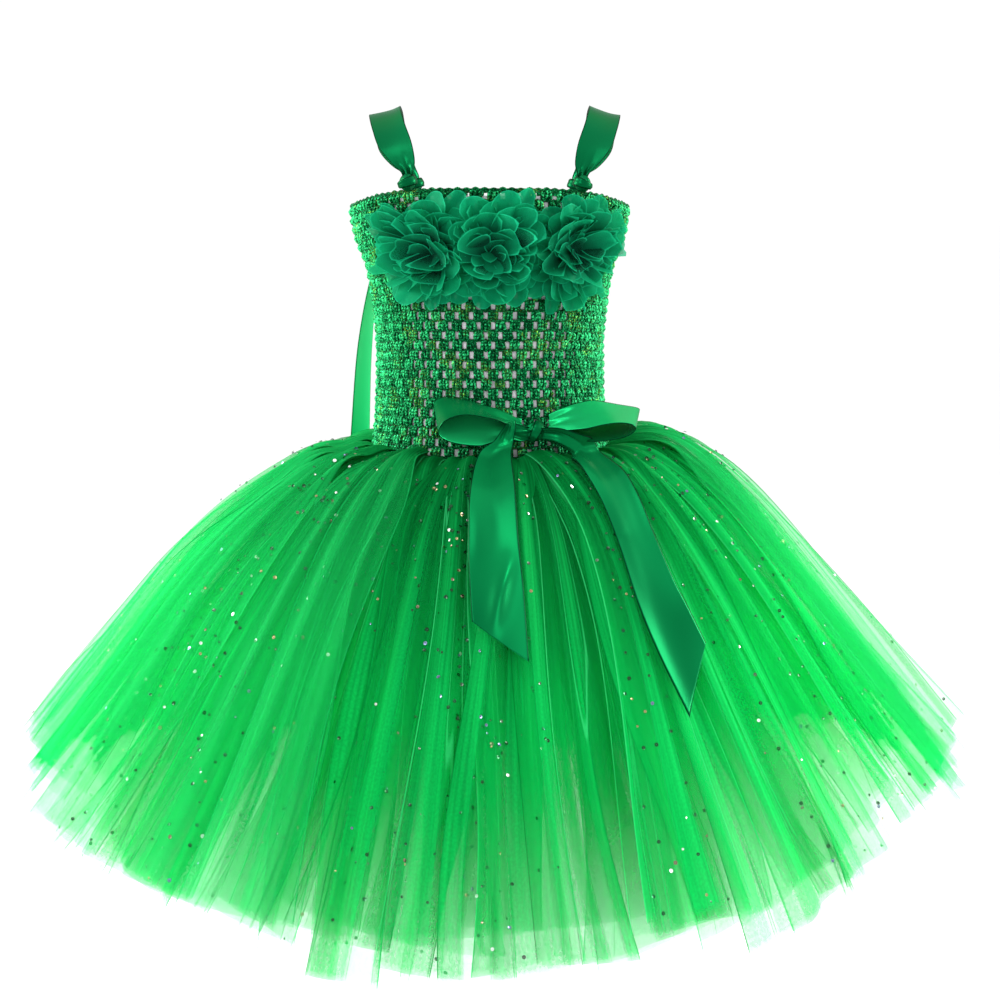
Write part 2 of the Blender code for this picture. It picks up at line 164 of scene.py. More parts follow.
def creased(creases: Sequence[Crease], across: float, along: float) -> float:
    """The lift of several creases together at a place, in metres."""
    return sum(crease.height(across, along) for crease in creases)


# Meshes


@dataclass
class Draft:
    """Points and faces gathered for one piece.

    Each point also has its place in the cloth and its trim, three numbers each, which the finishes read.
    The place is (across, along, seed) in metres, or (turn, length, seed) on a strand. The trim is the
    distance from the nearest long edge in metres, the share of the length, and a tone. On a bow's loop the
    tone is how much painted light shows in the loop's hollow; on the tulle strips and the crochet posts it
    also holds painted side light, and on the petals painted shade towards a flower's middle.
    """

    points: list[np.ndarray] = field(default_factory=list)
    cloth: list[np.ndarray] = field(default_factory=list)
    trim: list[np.ndarray] = field(default_factory=list)
    faces: list[np.ndarray] = field(default_factory=list)
    count: int = 0

    def add_rows(
        self, points: np.ndarray, cloth: np.ndarray, trim: np.ndarray, wrap_across: bool = False,
        wrap_along: bool = False,
    ) -> None:
        """Add a net of points, each array with its rows first, then its columns.

        Args:
            points: Places of the points.
            cloth: Places in the cloth.
            trim: Trim of the points.
            wrap_across: Whether the last column joins the first.
            wrap_along: Whether the last row joins the first.
        """
        rows, columns = points.shape[:2]
        row = np.arange(rows if wrap_along else rows - 1)[:, None]
        column = np.arange(columns if wrap_across else columns - 1)[None, :]
        next_row, next_column = (row + 1) % rows, (column + 1) % columns
        corners = [row * columns + column, row * columns + next_column]
        corners += [next_row * columns + next_column, next_row * columns + column]
        self.faces.append(np.stack(corners, axis=-1).reshape(-1, 4) + self.count)
        self.points.append(points.reshape(-1, 3))
        self.cloth.append(cloth.reshape(-1, 3))
        self.trim.append(trim.reshape(-1, 3))
        self.count += rows * columns

    def add_sheet(
        self, columns: int, rows: int, sample: Sampler, wrap_across: bool = False, wrap_along: bool = False
    ) -> None:
        """Add a net of quads over a surface.

        Args:
            columns: Faces across.
            rows: Faces along.
            sample: Point, cloth and trim at (across, along), each from 0 to 1.
            wrap_across: Whether it closes on itself across.
            wrap_along: Whether it closes on itself along.
        """
        over = [c / columns for c in range(columns if wrap_across else columns + 1)]
        down = [r / rows for r in range(rows if wrap_along else rows + 1)]
        samples = [[sample(across, along) for across in over] for along in down]
        points, cloth, trim = (
            np.array([[tuple(one[part]) for one in row] for row in samples]) for part in range(3)
        )
        self.add_rows(points, cloth, trim, wrap_across, wrap_along)

    def add_yarn(
        self, path: Sequence[Vector], radii: Sequence[float], sides: int, out: Vector, tone: float,
        closed: bool = False,
    ) -> None:
        """Add a round strand along a path.

        Args:
            path: The points that it follows.
            radii: Its radius at each, or one for all.
            sides: Sides of its section.
            out: A direction that is never along the path.
            tone: Its tone.
            closed: Whether its end joins its start.
        """
        path = np.array(path)
        radii = np.broadcast_to(radii, len(path))
        if closed:
            ahead = np.roll(path, -1, axis=0) - np.roll(path, 1, axis=0)
        else:
            ahead = np.gradient(path, axis=0)
        ahead /= np.linalg.norm(ahead, axis=1, keepdims=True)
        side = np.cross(ahead, np.array(out))
        side /= np.linalg.norm(side, axis=1, keepdims=True)
        up = np.cross(side, ahead)
        turns = np.array(all_round(sides))
        ring = np.cos(turns)[None, :, None] * side[:, None, :]
        ring = ring + np.sin(turns)[None, :, None] * up[:, None, :]
        points = path[:, None, :] + radii[:, None, None] * ring
        steps = np.linalg.norm(np.diff(path, axis=0), axis=1)
        lengths = np.concatenate([[0.0], np.cumsum(steps)])
        shape = (len(path), sides)
        cloth = np.stack(
            [
                np.broadcast_to(turns / (2 * math.pi), shape),
                np.broadcast_to(lengths[:, None], shape),
                np.full(shape, tone * SEED_PER_TONE),
            ],
            axis=-1,
        )
        share = lengths / max(lengths[-1], 1e-9)
        trim = np.stack(
            [np.full(shape, 1.0), np.broadcast_to(share[:, None], shape), np.full(shape, tone)], axis=-1
        )
        self.add_rows(points, cloth, trim, wrap_across=True, wrap_along=closed)

    def build(
        self, name: str, finish: bpy.types.Material, slot: Slot | None, nodes: Sequence[str] = (),
        wall: float = 0.0, thick: tuple[bpy.types.Material, float] | None = None,
    ) -> bpy.types.Object:
        """Turn the draft into a piece of the dress.

        Args:
            name: The piece's name.
            finish: Its material.
            slot: The record's material slot, or None. It is not used.
            nodes: The solids that it stands for.
            wall: Thickness of the cloth, or 0 for a single face.
            thick: A second finish and the share of the length, from the start, that wears it.

        Returns:
            The piece.
        """
        mesh = bpy.data.meshes.new(name)
        mesh.from_pydata(np.concatenate(self.points).tolist(), [], np.concatenate(self.faces).tolist())
        for label, rows in (("cloth", self.cloth), ("trim", self.trim)):
            values = mesh.attributes.new(label, "FLOAT_VECTOR", "POINT")
            values.data.foreach_set("vector", np.concatenate(rows).astype(np.float32).ravel())
        mesh.shade_smooth()
        mesh.materials.append(finish)
        if thick:
            mesh.materials.append(thick[0])
            shares = np.concatenate(self.trim).reshape(-1, 3)[:, 1]
            near = shares[np.concatenate(self.faces)].max(axis=1) <= thick[1]
            mesh.polygons.foreach_set("material_index", near.astype(np.int32))
        piece = bpy.data.objects.new(name, mesh)
        bpy.context.scene.collection.objects.link(piece)
        if wall:
            shell = piece.modifiers.new("wall", "SOLIDIFY")
            shell.thickness = wall
            shell.offset = 0.0
        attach(piece, BODY)
        if nodes:
            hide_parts(*nodes)
        log.info("%s: %d faces", name, len(mesh.polygons))
        return piece


# Finishes


@dataclass(frozen=True)
class Range:
    """A stretch of one number, and what its two ends become. It is flat beyond them."""

    low: float
    high: float
    start: Value = 0.0
    end: Value = 1.0


class Nodes:
    """The node tree of one material, with short calls for the nodes that the finishes use."""

    def __init__(self, name: str) -> None:
        """Start an empty material of this name."""
        self.material = bpy.data.materials.new(name)
        self.material.use_nodes = True
        self.tree = self.material.node_tree
        self.tree.nodes.clear()

    def add(self, kind: str, inputs: dict | None = None, **settings) -> bpy.types.Node:
        """Add a node.

        Args:
            kind: Its type, without ShaderNode.
            inputs: Values, sockets or nodes for its inputs, by name or number.
            settings: Values for its own settings.

        Returns:
            The node.
        """
        node = self.tree.nodes.new(f"ShaderNode{kind}")
        for key, value in settings.items():
            setattr(node, key, value)
        for key, value in (inputs or {}).items():
            if isinstance(value, bpy.types.Node):
                value = value.outputs[0]
            if isinstance(value, Socket):
                self.tree.links.new(value, node.inputs[key])
            elif isinstance(value, tuple) and len(value) == 3 and node.inputs[key].type == "RGBA":
                node.inputs[key].default_value = (*value, 1.0)
            else:
                node.inputs[key].default_value = value
        return node

    def work(self, operation: str, first: Value, second: Value = 0.0) -> Socket:
        """A Math node's output, for an operation that Blender names."""
        return self.add("Math", {0: first, 1: second}, operation=operation).outputs[0]

    def span(self, value: Value, over: Range) -> Socket:
        """A Map Range node's output: the value, mapped over the range."""
        inputs = {"Value": value, "From Min": over.low, "From Max": over.high}
        inputs |= {"To Min": over.start, "To Max": over.end}
        return self.add("MapRange", inputs).outputs[0]

    def scaled(self, value: Value, share: Value) -> Socket:
        """A value times a share."""
        return self.work("MULTIPLY", value, share)

    def added(self, first: Value, second: Value) -> Socket:
        """Two values together."""
        return self.work("ADD", first, second)

    def blend(self, share: Value, first: Value, second: Value) -> Socket:
        """The colour between two colours, at a share from 0 to 1."""
        return self.add("Mix", {0: share, 6: first, 7: second}, data_type="RGBA").outputs[2]

    def attribute(self, label: str) -> Socket:
        """The vector that the mesh keeps under a label."""
        return self.add("Attribute", attribute_name=label).outputs["Vector"]

    def parts(self, vector: Socket) -> tuple[Socket, ...]:
        """The three numbers of a vector."""
        return tuple(self.add("SeparateXYZ", {0: vector}).outputs)

    def noise(
        self, vector: Socket, scale: tuple[float, float, float], detail: float = 2.0, rough: float = 0.5
    ) -> Socket:
        """Noise in a stretched vector.

        Args:
            vector: The coordinates.
            scale: Repeats a metre along each of them; where the last is 0 the noise is flat.
            detail: Octaves.
            rough: Strength of the finer octaves.

        Returns:
            The socket with the noise, about 0.5 on average.
        """
        scaled = self.add("VectorMath", {0: vector, 1: scale}, operation="MULTIPLY")
        inputs = {"Vector": scaled, "Scale": 1.0, "Detail": detail, "Roughness": rough}
        flat = "2D" if scale[2] == 0.0 else "3D"
        return self.add("TexNoise", inputs, noise_dimensions=flat).outputs[0]

    def finish(self, shader: bpy.types.Node) -> bpy.types.Material:
        """Put the shader on the material's output and hand the material back."""
        self.add("OutputMaterial", {"Surface": shader})
        return self.material


@dataclass(frozen=True)
class TulleFinish:
    """Sheer nylon net: soft folds that lie dense, single net between them, and thin folded edges.

    Folded and single are how much of the light each stops, as (place from waist to hem, share). Folds is
    the number of soft folds in a metre of the cloth's width. Thinner is the share that a strip at the
    side lacks, below the place late_from. The other ranges say how bright the cloth is painted: darker
    near the waist and lighter to the hem, painted shade and light; brighter on the strips at the sides,
    painted side light; lighter and darker over its folds, painted fold shading; and at random over its
    fibres. They also say where its folded edges lie and where those are drawn pale, as painted highlights.
    """

    name: str
    deep: Colour
    bright: Colour
    rim: Colour
    folded: tuple[tuple[float, float], ...]
    single: tuple[tuple[float, float], ...]
    folds: float = 46.0
    thinner: float = 0.34
    late_from: float = 0.30
    late_over: float = 0.45
    cut_length: float = 0.36
    frayed: float = 0.0025
    frayed_share: float = 0.60
    painted_shade_and_light_along: Range = Range(0.10, 0.70, 0.04, 0.64)
    tone_and_painted_side_light: float = 0.19
    painted_fold_shading: Range = Range(0.32, 0.68, -0.05, 0.05)
    light_of_fibres: Range = Range(0.30, 0.70, -0.10, 0.10)
    edge: Range = Range(0.0003, 0.0010, 1.0, 0.0)
    fold_line: Range = Range(0.002, 0.007, 0.65, 0.0)
    painted_highlight_strips: Range = Range(0.40, 0.50)
    painted_highlight_tones: Range = Range(0.50, 1.10, 1.0, 0.0)
    line_colour: float = 0.72
    line_cover: float = 0.50
    most_cover: float = 0.99
    ridges: Range = Range(0.46, 0.56)
    flat_tones: Range = Range(0.40, 1.40, 0.0, 0.7)
    fibre_cover: Range = Range(0.30, 0.70, 0.94, 1.06)
    mesh_cover: Range = Range(0.32, 0.68, 0.93, 1.07)
    side_tones: tuple[float, float] = (0.30, 1.50)
    see_through: float = 0.42
    clear: Colour = (0.95, 1.0, 0.97)

    @staticmethod
    def curve(nodes: Nodes, place: Socket, stops: tuple[tuple[float, float], ...]) -> Socket:
        """Follow the stops along the strip.

        Args:
            nodes: The nodes of the material.
            place: The place along the strip.
            stops: The place and number of each stop.

        Returns:
            The number at the place.
        """
        node = nodes.add("ValToRGB", {0: place})
        ramp = node.color_ramp
        for position, _ in stops[1:-1]:
            ramp.elements.new(position)
        for element, (position, level) in zip(ramp.elements, stops):
            element.position = position
            element.color = (level, level, level, 1.0)
        return node.outputs[0]

    def material(self, sheer: bool = True) -> bpy.types.Material:
        """Make the material.

        Args:
            sheer: False for cloth that lies too thick to see through.

        Returns:
            The material.
        """
        nodes = Nodes(self.name if sheer else f"{self.name}_thick")
        cloth = nodes.attribute("cloth")
        edge, along, tone = nodes.parts(nodes.attribute("trim"))
        _, down, chance = nodes.parts(cloth)
        fold = nodes.noise(cloth, (self.folds, 1.2, 0.0), 1.0, 0.5)
        fibres = nodes.noise(cloth, (430.0, 5.0, 0.0), 1.0, 0.5)
        bent = nodes.work("ABSOLUTE", nodes.work("SUBTRACT", fold, 0.50))
        line = nodes.work("MAXIMUM", nodes.span(edge, self.edge), nodes.span(bent, self.fold_line))
        # Painted light and shade: darker near the waist and lighter to the hem, brighter on the side strips
        # through the tone, and lighter and darker over the soft folds. The fibres add random grain.
        light = nodes.added(nodes.span(along, self.painted_shade_and_light_along), nodes.scaled(tone, self.tone_and_painted_side_light))
        light = nodes.added(light, nodes.span(fold, self.painted_fold_shading))
        light = nodes.added(light, nodes.span(fibres, self.light_of_fibres))
        colour = nodes.blend(light, self.deep, self.bright)
        # The thin lines along the edges and fold ridges are drawn in the rim colour on some strips towards
        # the front, painted highlights on the folded edges, and in the deep green elsewhere.
        pale = nodes.scaled(nodes.span(chance, self.painted_highlight_strips), nodes.span(tone, self.painted_highlight_tones))
        drawn = nodes.blend(pale, self.deep, self.rim)
        colour = nodes.blend(nodes.scaled(line, self.line_colour), colour, drawn)
        solid = nodes.add(
            "BsdfPrincipled",
            {"Base Color": colour, "Roughness": 0.60, "Sheen Weight": 0.05, "Sheen Roughness": 0.4,
             "Sheen Tint": (*self.bright, 1.0), "Specular IOR Level": 0.06,
             "Specular Tint": (*self.bright, 1.0)},
        )
        glow = nodes.add("BsdfTranslucent", {"Color": colour})
        fibre = nodes.add("MixShader", {0: self.see_through, 1: solid, 2: glow})
        if not sheer:
            return nodes.finish(fibre)
        mesh = nodes.noise(cloth, (800.0, 800.0, 0.0), 0.0, 0.5)
        late = nodes.span(along, Range(self.late_from, min(1.0, self.late_from + self.late_over)))
        flat = nodes.scaled(nodes.span(tone, self.flat_tones), late)
        ridge = nodes.scaled(nodes.span(fold, self.ridges), nodes.work("SUBTRACT", 1.0, flat))
        single, folded = (self.curve(nodes, along, stops) for stops in (self.single, self.folded))
        cover = nodes.span(ridge, Range(0.0, 1.0, single, folded))
        cover = nodes.scaled(cover, nodes.span(fibres, self.fibre_cover))
        cover = nodes.scaled(cover, nodes.span(mesh, self.mesh_cover))
        aside = nodes.scaled(nodes.span(tone, Range(*self.side_tones, 0.0, self.thinner)), late)
        cover = nodes.scaled(cover, nodes.work("SUBTRACT", 1.0, aside))
        cover = nodes.added(cover, nodes.scaled(line, self.line_cover))
        cover = nodes.work("MINIMUM", cover, self.most_cover)
        frayed = Range(self.cut_length - self.frayed, self.cut_length, 1.0, self.frayed_share)
        cover = nodes.scaled(cover, nodes.span(down, frayed))
        clear = nodes.add("BsdfTransparent", {"Color": self.clear})
        return nodes.finish(nodes.add("MixShader", {0: cover, 1: clear, 2: fibre}))


@dataclass(frozen=True)
class YarnFinish:
    """Frizzy glitter yarn: mottled, with bright and yellowish specks and a fine twisted relief."""

    name: str
    dark: Colour
    middle: Colour
    bright: Colour
    speck: Colour
    twist: float = 2600.0

    def material(self) -> bpy.types.Material:
        """The material."""
        nodes = Nodes(self.name)
        place = nodes.add("TexCoord").outputs["Object"]
        tone = nodes.parts(nodes.attribute("trim"))[2]
        turn, length, offset = nodes.parts(nodes.attribute("cloth"))
        way = nodes.work("SIGN", tone)
        round_it = nodes.scaled(nodes.scaled(turn, 2 * math.pi), way)
        twist = nodes.added(round_it, nodes.added(nodes.scaled(length, self.twist), offset))
        fleck = nodes.noise(place, (780.0, 780.0, 780.0), 1.0, 0.7)
        fleck = nodes.added(fleck, nodes.scaled(nodes.work("SINE", twist), 0.075))
        glint = nodes.noise(place, (1500.0, 1500.0, 1500.0), 0.0, 0.5)
        patch = nodes.noise(place, (70.0, 70.0, 70.0), 1.0, 0.5)
        # The tone brightens the flecks: at random, with painted side light on the posts and painted shade
        # on the sheets behind them.
        level = nodes.added(fleck, nodes.scaled(tone, 0.10))
        colour = nodes.blend(nodes.span(level, Range(0.40, 0.52)), self.dark, self.middle)
        colour = nodes.blend(nodes.span(level, Range(0.55, 0.68)), colour, self.bright)
        yellow = nodes.scaled(nodes.span(glint, Range(0.60, 0.70)), nodes.span(patch, Range(0.52, 0.72)))
        colour = nodes.blend(yellow, colour, self.speck)
        relief = nodes.add("Bump", {"Height": fleck, "Strength": 0.7, "Distance": 0.0006})
        shader = nodes.add(
            "BsdfPrincipled",
            {"Base Color": colour, "Roughness": nodes.span(glint, Range(0.45, 0.65, 0.62, 0.25)),
             "Metallic": nodes.span(glint, Range(0.62, 0.70, 0.0, 0.7)), "Specular IOR Level": 0.16,
             "Specular Tint": (*self.bright, 1.0), "Normal": relief},
        )
        return nodes.finish(shader)


@dataclass(frozen=True)
class SatinFinish:
    """Satin ribbon: smooth along its length, glossy across it, with a thin dark woven edge.

    Broad lighter patches are painted sheen. The half of a bow's loop that comes back is painted lighter,
    where the trim's third number says so: painted light in the loop's hollow.
    """

    name: str
    colour: Colour
    light: Colour
    edge: Colour
    metal: float
    edge_width: float
    rough: float
    loop_painted_light: Colour = (0.010, 0.420, 0.130)

    def material(self) -> bpy.types.Material:
        """The material."""
        nodes = Nodes(self.name)
        cloth = nodes.attribute("cloth")
        edge, _, inside = nodes.parts(nodes.attribute("trim"))
        weave = nodes.noise(cloth, (2600.0, 160.0, 1.0), 1.0, 0.5)
        soft = nodes.noise(cloth, (16.0, 10.0, 1.0), 1.0, 0.5)
        # Painted sheen: broad soft noise blends the satin from its colour to the lighter light colour in
        # patches, standing in for satin highlights.
        colour = nodes.blend(nodes.span(soft, Range(0.34, 0.66)), self.colour, self.light)
        # Painted light: where the trim's third number rises, on the half of a bow's loop that comes back,
        # the satin takes the lighter loop colour to light the loop's hollow.
        colour = nodes.blend(inside, colour, self.loop_painted_light)
        line = nodes.span(edge, Range(self.edge_width * 0.6, self.edge_width, 1.0, 0.0))
        colour = nodes.blend(line, colour, self.edge)
        relief = nodes.add("Bump", {"Height": weave, "Strength": 0.10, "Distance": 0.0002})
        shader = nodes.add(
            "BsdfPrincipled",
            {"Base Color": colour, "Roughness": self.rough, "Metallic": self.metal, "Anisotropic": 0.4,
             "Specular IOR Level": 0.15, "Specular Tint": (*self.light, 1.0), "Normal": relief},
        )
        return nodes.finish(shader)


@dataclass(frozen=True)
class ChiffonFinish:
    """Sheer chiffon petals, slightly crinkled and thinner to the cut rim: painted shade deep at the root
    and on the inner rounds, painted light brighter out to the rim, and a painted highlight along the rim.
    """

    name: str
    root: Colour
    middle: Colour
    rim: Colour
    tint: Colour

    def material(self) -> bpy.types.Material:
        """The material."""
        nodes = Nodes(self.name)
        cloth = nodes.attribute("cloth")
        edge, along, tone = nodes.parts(nodes.attribute("trim"))
        crinkle = nodes.noise(cloth, (260.0, 260.0, 2.0), 2.0, 0.6)
        weave = nodes.noise(cloth, (1800.0, 1800.0, 1.0), 0.0, 0.5)
        # Painted shade and light: the colour runs from the deep root colour to the middle colour along the
        # petal, and the lower tone of the inner rounds keeps it deeper.
        place = nodes.added(along, nodes.scaled(tone, 0.28))
        colour = nodes.blend(nodes.span(place, Range(0.22, 1.00)), self.root, self.middle)
        # A painted highlight: the rim colour along the cut edge.
        line = nodes.span(edge, Range(0.0003, 0.0009, 1.0, 0.0))
        colour = nodes.blend(nodes.scaled(line, 0.8), colour, self.rim)
        cover = nodes.span(along, Range(0.4, 1.0, 0.97, 0.80))
        cover = nodes.scaled(cover, nodes.span(weave, Range(0.35, 0.65, 0.90, 1.03)))
        cover = nodes.work("MINIMUM", cover, 0.99)
        relief = nodes.add("Bump", {"Height": crinkle, "Strength": 0.35, "Distance": 0.0006})
        solid = nodes.add(
            "BsdfPrincipled",
            {"Base Color": colour, "Roughness": 0.55, "Sheen Weight": 0.12, "Sheen Tint": (*self.rim, 1.0),
             "Specular IOR Level": 0.12, "Specular Tint": (*self.rim, 1.0), "Normal": relief},
        )
        glow = nodes.add("BsdfTranslucent", {"Color": colour, "Normal": relief})
        fibre = nodes.add("MixShader", {0: 0.35, 1: solid, 2: glow})
        clear = nodes.add("BsdfTransparent", {"Color": self.tint})
        return nodes.finish(nodes.add("MixShader", {0: cover, 1: clear, 2: fibre}))


@dataclass(frozen=True)
class LiningFinish:
    """Thin pale knit, with fine ribs down the cloth."""

    name: str
    pale: Colour
    shade: Colour

    def material(self) -> bpy.types.Material:
        """The material."""
        nodes = Nodes(self.name)
        cloth = nodes.attribute("cloth")
        rib = nodes.noise(cloth, (900.0, 260.0, 1.0), 1.0, 0.5)
        # Darker blotches over the knit.
        dark_blotch = nodes.noise(cloth, (120.0, 120.0, 1.0), 2.0, 0.5)
        colour = nodes.blend(nodes.span(dark_blotch, Range(0.3, 0.7, 0.0, 0.6)), self.pale, self.shade)
        colour = nodes.blend(nodes.span(rib, Range(0.42, 0.62, 0.0, 0.4)), colour, self.shade)
        relief = nodes.add("Bump", {"Height": rib, "Strength": 0.4, "Distance": 0.0004})
        shader = nodes.add(
            "BsdfPrincipled",
            {"Base Color": colour, "Roughness": 0.85, "Sheen Weight": 0.2, "Normal": relief},
        )
        return nodes.finish(shader)


@dataclass(frozen=True)
class SequinFinish:
    """Small foil discs of several colours, one for each step of the tone."""

    name: str
    colours: tuple[Colour, ...]

    def material(self) -> bpy.types.Material:
        """The material."""
        nodes = Nodes(self.name)
        cloth = nodes.attribute("cloth")
        tone = nodes.parts(nodes.attribute("trim"))[2]
        pick = nodes.add("ValToRGB", {0: tone})
        ramp = pick.color_ramp
        ramp.interpolation = "CONSTANT"
        for number in range(2, len(self.colours)):
            ramp.elements.new(number / len(self.colours))
        for number, (element, colour) in enumerate(zip(ramp.elements, self.colours)):
            element.position = number / len(self.colours)
            element.color = (*colour, 1.0)
        scratch = nodes.noise(cloth, (900.0, 900.0, 1.0), 1.0, 0.5)
        shader = nodes.add(
            "BsdfPrincipled",
            {"Base Color": pick.outputs[0], "Metallic": 0.85,
             "Roughness": nodes.span(scratch, Range(0.3, 0.7, 0.12, 0.34)), "Coat Weight": 0.4},
        )
        return nodes.finish(shader)


@dataclass(frozen=True)
class FloorFinish:
    """Pale studio paper."""

    name: str
    pale: Colour
    shade: Colour

    def material(self) -> bpy.types.Material:
        """The material."""
        nodes = Nodes(self.name)
        place = nodes.add("TexCoord").outputs["Object"]
        cloud = nodes.noise(place, (2.0, 2.0, 2.0), 2.0, 0.5)
        colour = nodes.blend(nodes.span(cloud, Range(0.4, 0.6, 0.0, 0.5)), self.pale, self.shade)
        return nodes.finish(nodes.add("BsdfPrincipled", {"Base Color": colour, "Roughness": 0.9}))


# Greens with gold, copper, silver and blue among them.
FOIL_COLOURS = (
    (0.004, 0.060, 0.018), (0.003, 0.040, 0.014), (0.330, 0.260, 0.130), (0.002, 0.090, 0.030),
    (0.200, 0.130, 0.100), (0.004, 0.050, 0.020), (0.780, 0.800, 0.800), (0.003, 0.045, 0.014),
    (0.160, 0.170, 0.340), (0.006, 0.100, 0.036), (0.080, 0.120, 0.090), (0.003, 0.035, 0.012),
)


@dataclass(frozen=True)
class Finishes:
    """The finishes of the dress."""

    tulle_inner: bpy.types.Material
    tulle_inner_thick: bpy.types.Material
    tulle_outer: bpy.types.Material
    tulle_outer_thick: bpy.types.Material
    tulle_top: bpy.types.Material
    yarn: bpy.types.Material
    row_yarn_painted_shade: bpy.types.Material
    satin: bpy.types.Material
    strap_satin: bpy.types.Material
    back_tail_satin_painted_light: bpy.types.Material
    chiffon: bpy.types.Material
    lining: bpy.types.Material
    sequin: bpy.types.Material

    @staticmethod
    def made() -> "Finishes":
        """Make each of the materials."""
        # The rim colour draws the pale lines on the inner and outer strips: painted highlights along folded
        # edges.
        deep, bright, rim = (0.0004, 0.155, 0.028), (0.0080, 0.770, 0.152), (0.060, 0.820, 0.280)
        inner = TulleFinish(
            "tulle_inner", deep, bright, rim,
            ((0.0, 1.0), (0.70, 1.0), (0.80, 0.92), (0.90, 0.70), (0.97, 0.48), (1.0, 0.36)),
            ((0.0, 1.0), (0.68, 1.0), (0.80, 0.80), (0.90, 0.52), (1.0, 0.30)), late_from=0.68,
        )
        outer = TulleFinish(
            "tulle_outer", deep, bright, rim,
            ((0.0, 1.0), (0.18, 0.98), (0.45, 0.86), (0.80, 0.78), (0.95, 0.72), (1.0, 0.62)),
            ((0.0, 1.0), (0.16, 0.95), (0.38, 0.54), (0.70, 0.36), (1.0, 0.24)), thinner=0.40,
        )
        top = TulleFinish(
            "tulle_top", deep, (0.020, 0.720, 0.170), (0.010, 0.330, 0.090),
            ((0.0, 0.98), (0.22, 0.88), (0.45, 0.58), (0.70, 0.46), (1.0, 0.40)),
            ((0.0, 0.95), (0.20, 0.70), (0.40, 0.42), (0.70, 0.32), (1.0, 0.25)), 34.0, 0.0,
        )
        return Finishes(
            tulle_inner=inner.material(),
            tulle_inner_thick=inner.material(sheer=False),
            tulle_outer=outer.material(),
            tulle_outer_thick=outer.material(sheer=False),
            tulle_top=top.material(),
            yarn=YarnFinish(
                "glitter_yarn", (0.0003, 0.028, 0.008), (0.002, 0.165, 0.044), (0.036, 0.600, 0.205),
                (0.260, 0.600, 0.040),
            ).material(),
            # The row yarn is the glitter yarn in darker colours: painted shade in the grooves between the
            # rows. The top edge wears it too.
            row_yarn_painted_shade=YarnFinish(
                "row_yarn_painted_shade", (0.0005, 0.022, 0.006), (0.002, 0.090, 0.025), (0.010, 0.230, 0.070),
                (0.200, 0.300, 0.030),
            ).material(),
            satin=SatinFinish(
                "satin", (0.0008, 0.100, 0.028), (0.003, 0.225, 0.062), (0.0005, 0.030, 0.010),
                0.46, 0.0008, 0.26,
            ).material(),
            strap_satin=SatinFinish(
                "strap_satin", (0.0008, 0.085, 0.026), (0.004, 0.200, 0.066), (0.0005, 0.030, 0.010),
                0.55, 0.0008, 0.30,
            ).material(),
            # The back tails wear a much lighter copy of the strap satin: painted light on the ends that
            # hang at the back.
            back_tail_satin_painted_light=SatinFinish(
                "back_ribbon_painted_light", (0.010, 0.660, 0.185), (0.022, 0.720, 0.225), (0.001, 0.140, 0.045),
                0.10, 0.0007, 0.45,
            ).material(),
            chiffon=ChiffonFinish(
                "chiffon", (0.0030, 0.046, 0.024), (0.0040, 0.310, 0.132), (0.012, 0.500, 0.240),
                (0.55, 0.95, 0.78),
            ).material(),
            lining=LiningFinish("lining_knit", (0.760, 0.730, 0.780), (0.540, 0.520, 0.560)).material(),
            sequin=SequinFinish("sequin_foil", FOIL_COLOURS).material(),
        )


# The bodice


@dataclass(frozen=True)
class Section:
    """A level of the bodice: its height, half its width and half its depth."""

    z: float
    half_width: float
    half_depth: float


@dataclass(frozen=True)
class BodiceForm:
    """The outer face of the bodice, as the part's solids have it."""

    sections: tuple[Section, ...] = (
        Section(-0.270, 0.0950, 0.0730),
        Section(-0.250, 0.0920, 0.0700),
        Section(-0.215, 0.0900, 0.0680),
        Section(-0.180, 0.0895, 0.0685),
        Section(-0.150, 0.0920, 0.0710),
        Section(-0.120, 0.0970, 0.0740),
        Section(-0.095, 0.1060, 0.0770),
        Section(-0.062, 0.1105, 0.0780),
    )
    underarm_dip: float = 0.013

    @property
    def foot(self) -> float:
        """Height of the foot."""
        return self.sections[0].z

    @property
    def top(self) -> float:
        """Height of the top edge in front."""
        return self.sections[-1].z

    def half_sizes(self, z: float) -> tuple[float, float]:
        """Half the width and half the depth of a level.

        Args:
            z: Its height.

        Returns:
            Both, in metres.
        """
        low, high = self.sections[0], self.sections[-1]
        if z <= low.z:
            return low.half_width, low.half_depth
        if z >= high.z:
            return high.half_width, high.half_depth
        upper = next(i for i, row in enumerate(self.sections) if row.z >= z)
        below, above = self.sections[upper - 1], self.sections[upper]
        place = (upper - 1 + (z - below.z) / (above.z - below.z)) / (len(self.sections) - 1)
        widths = [row.half_width for row in self.sections]
        depths = [row.half_depth for row in self.sections]
        return smooth_through(widths, place), smooth_through(depths, place)

    def point(self, angle: float, z: float, out: float = 0.0) -> Vector:
        """A point at a plan angle and height, out from the outer face."""
        half_width, half_depth = self.half_sizes(z)
        return Vector(((half_width + out) * math.cos(angle), (half_depth + out) * math.sin(angle), z))

    def top_z(self, angle: float) -> float:
        """Height of the top edge, which dips under the arms."""
        return self.top - self.underarm_dip * math.cos(angle) ** 4


FORM = BodiceForm()


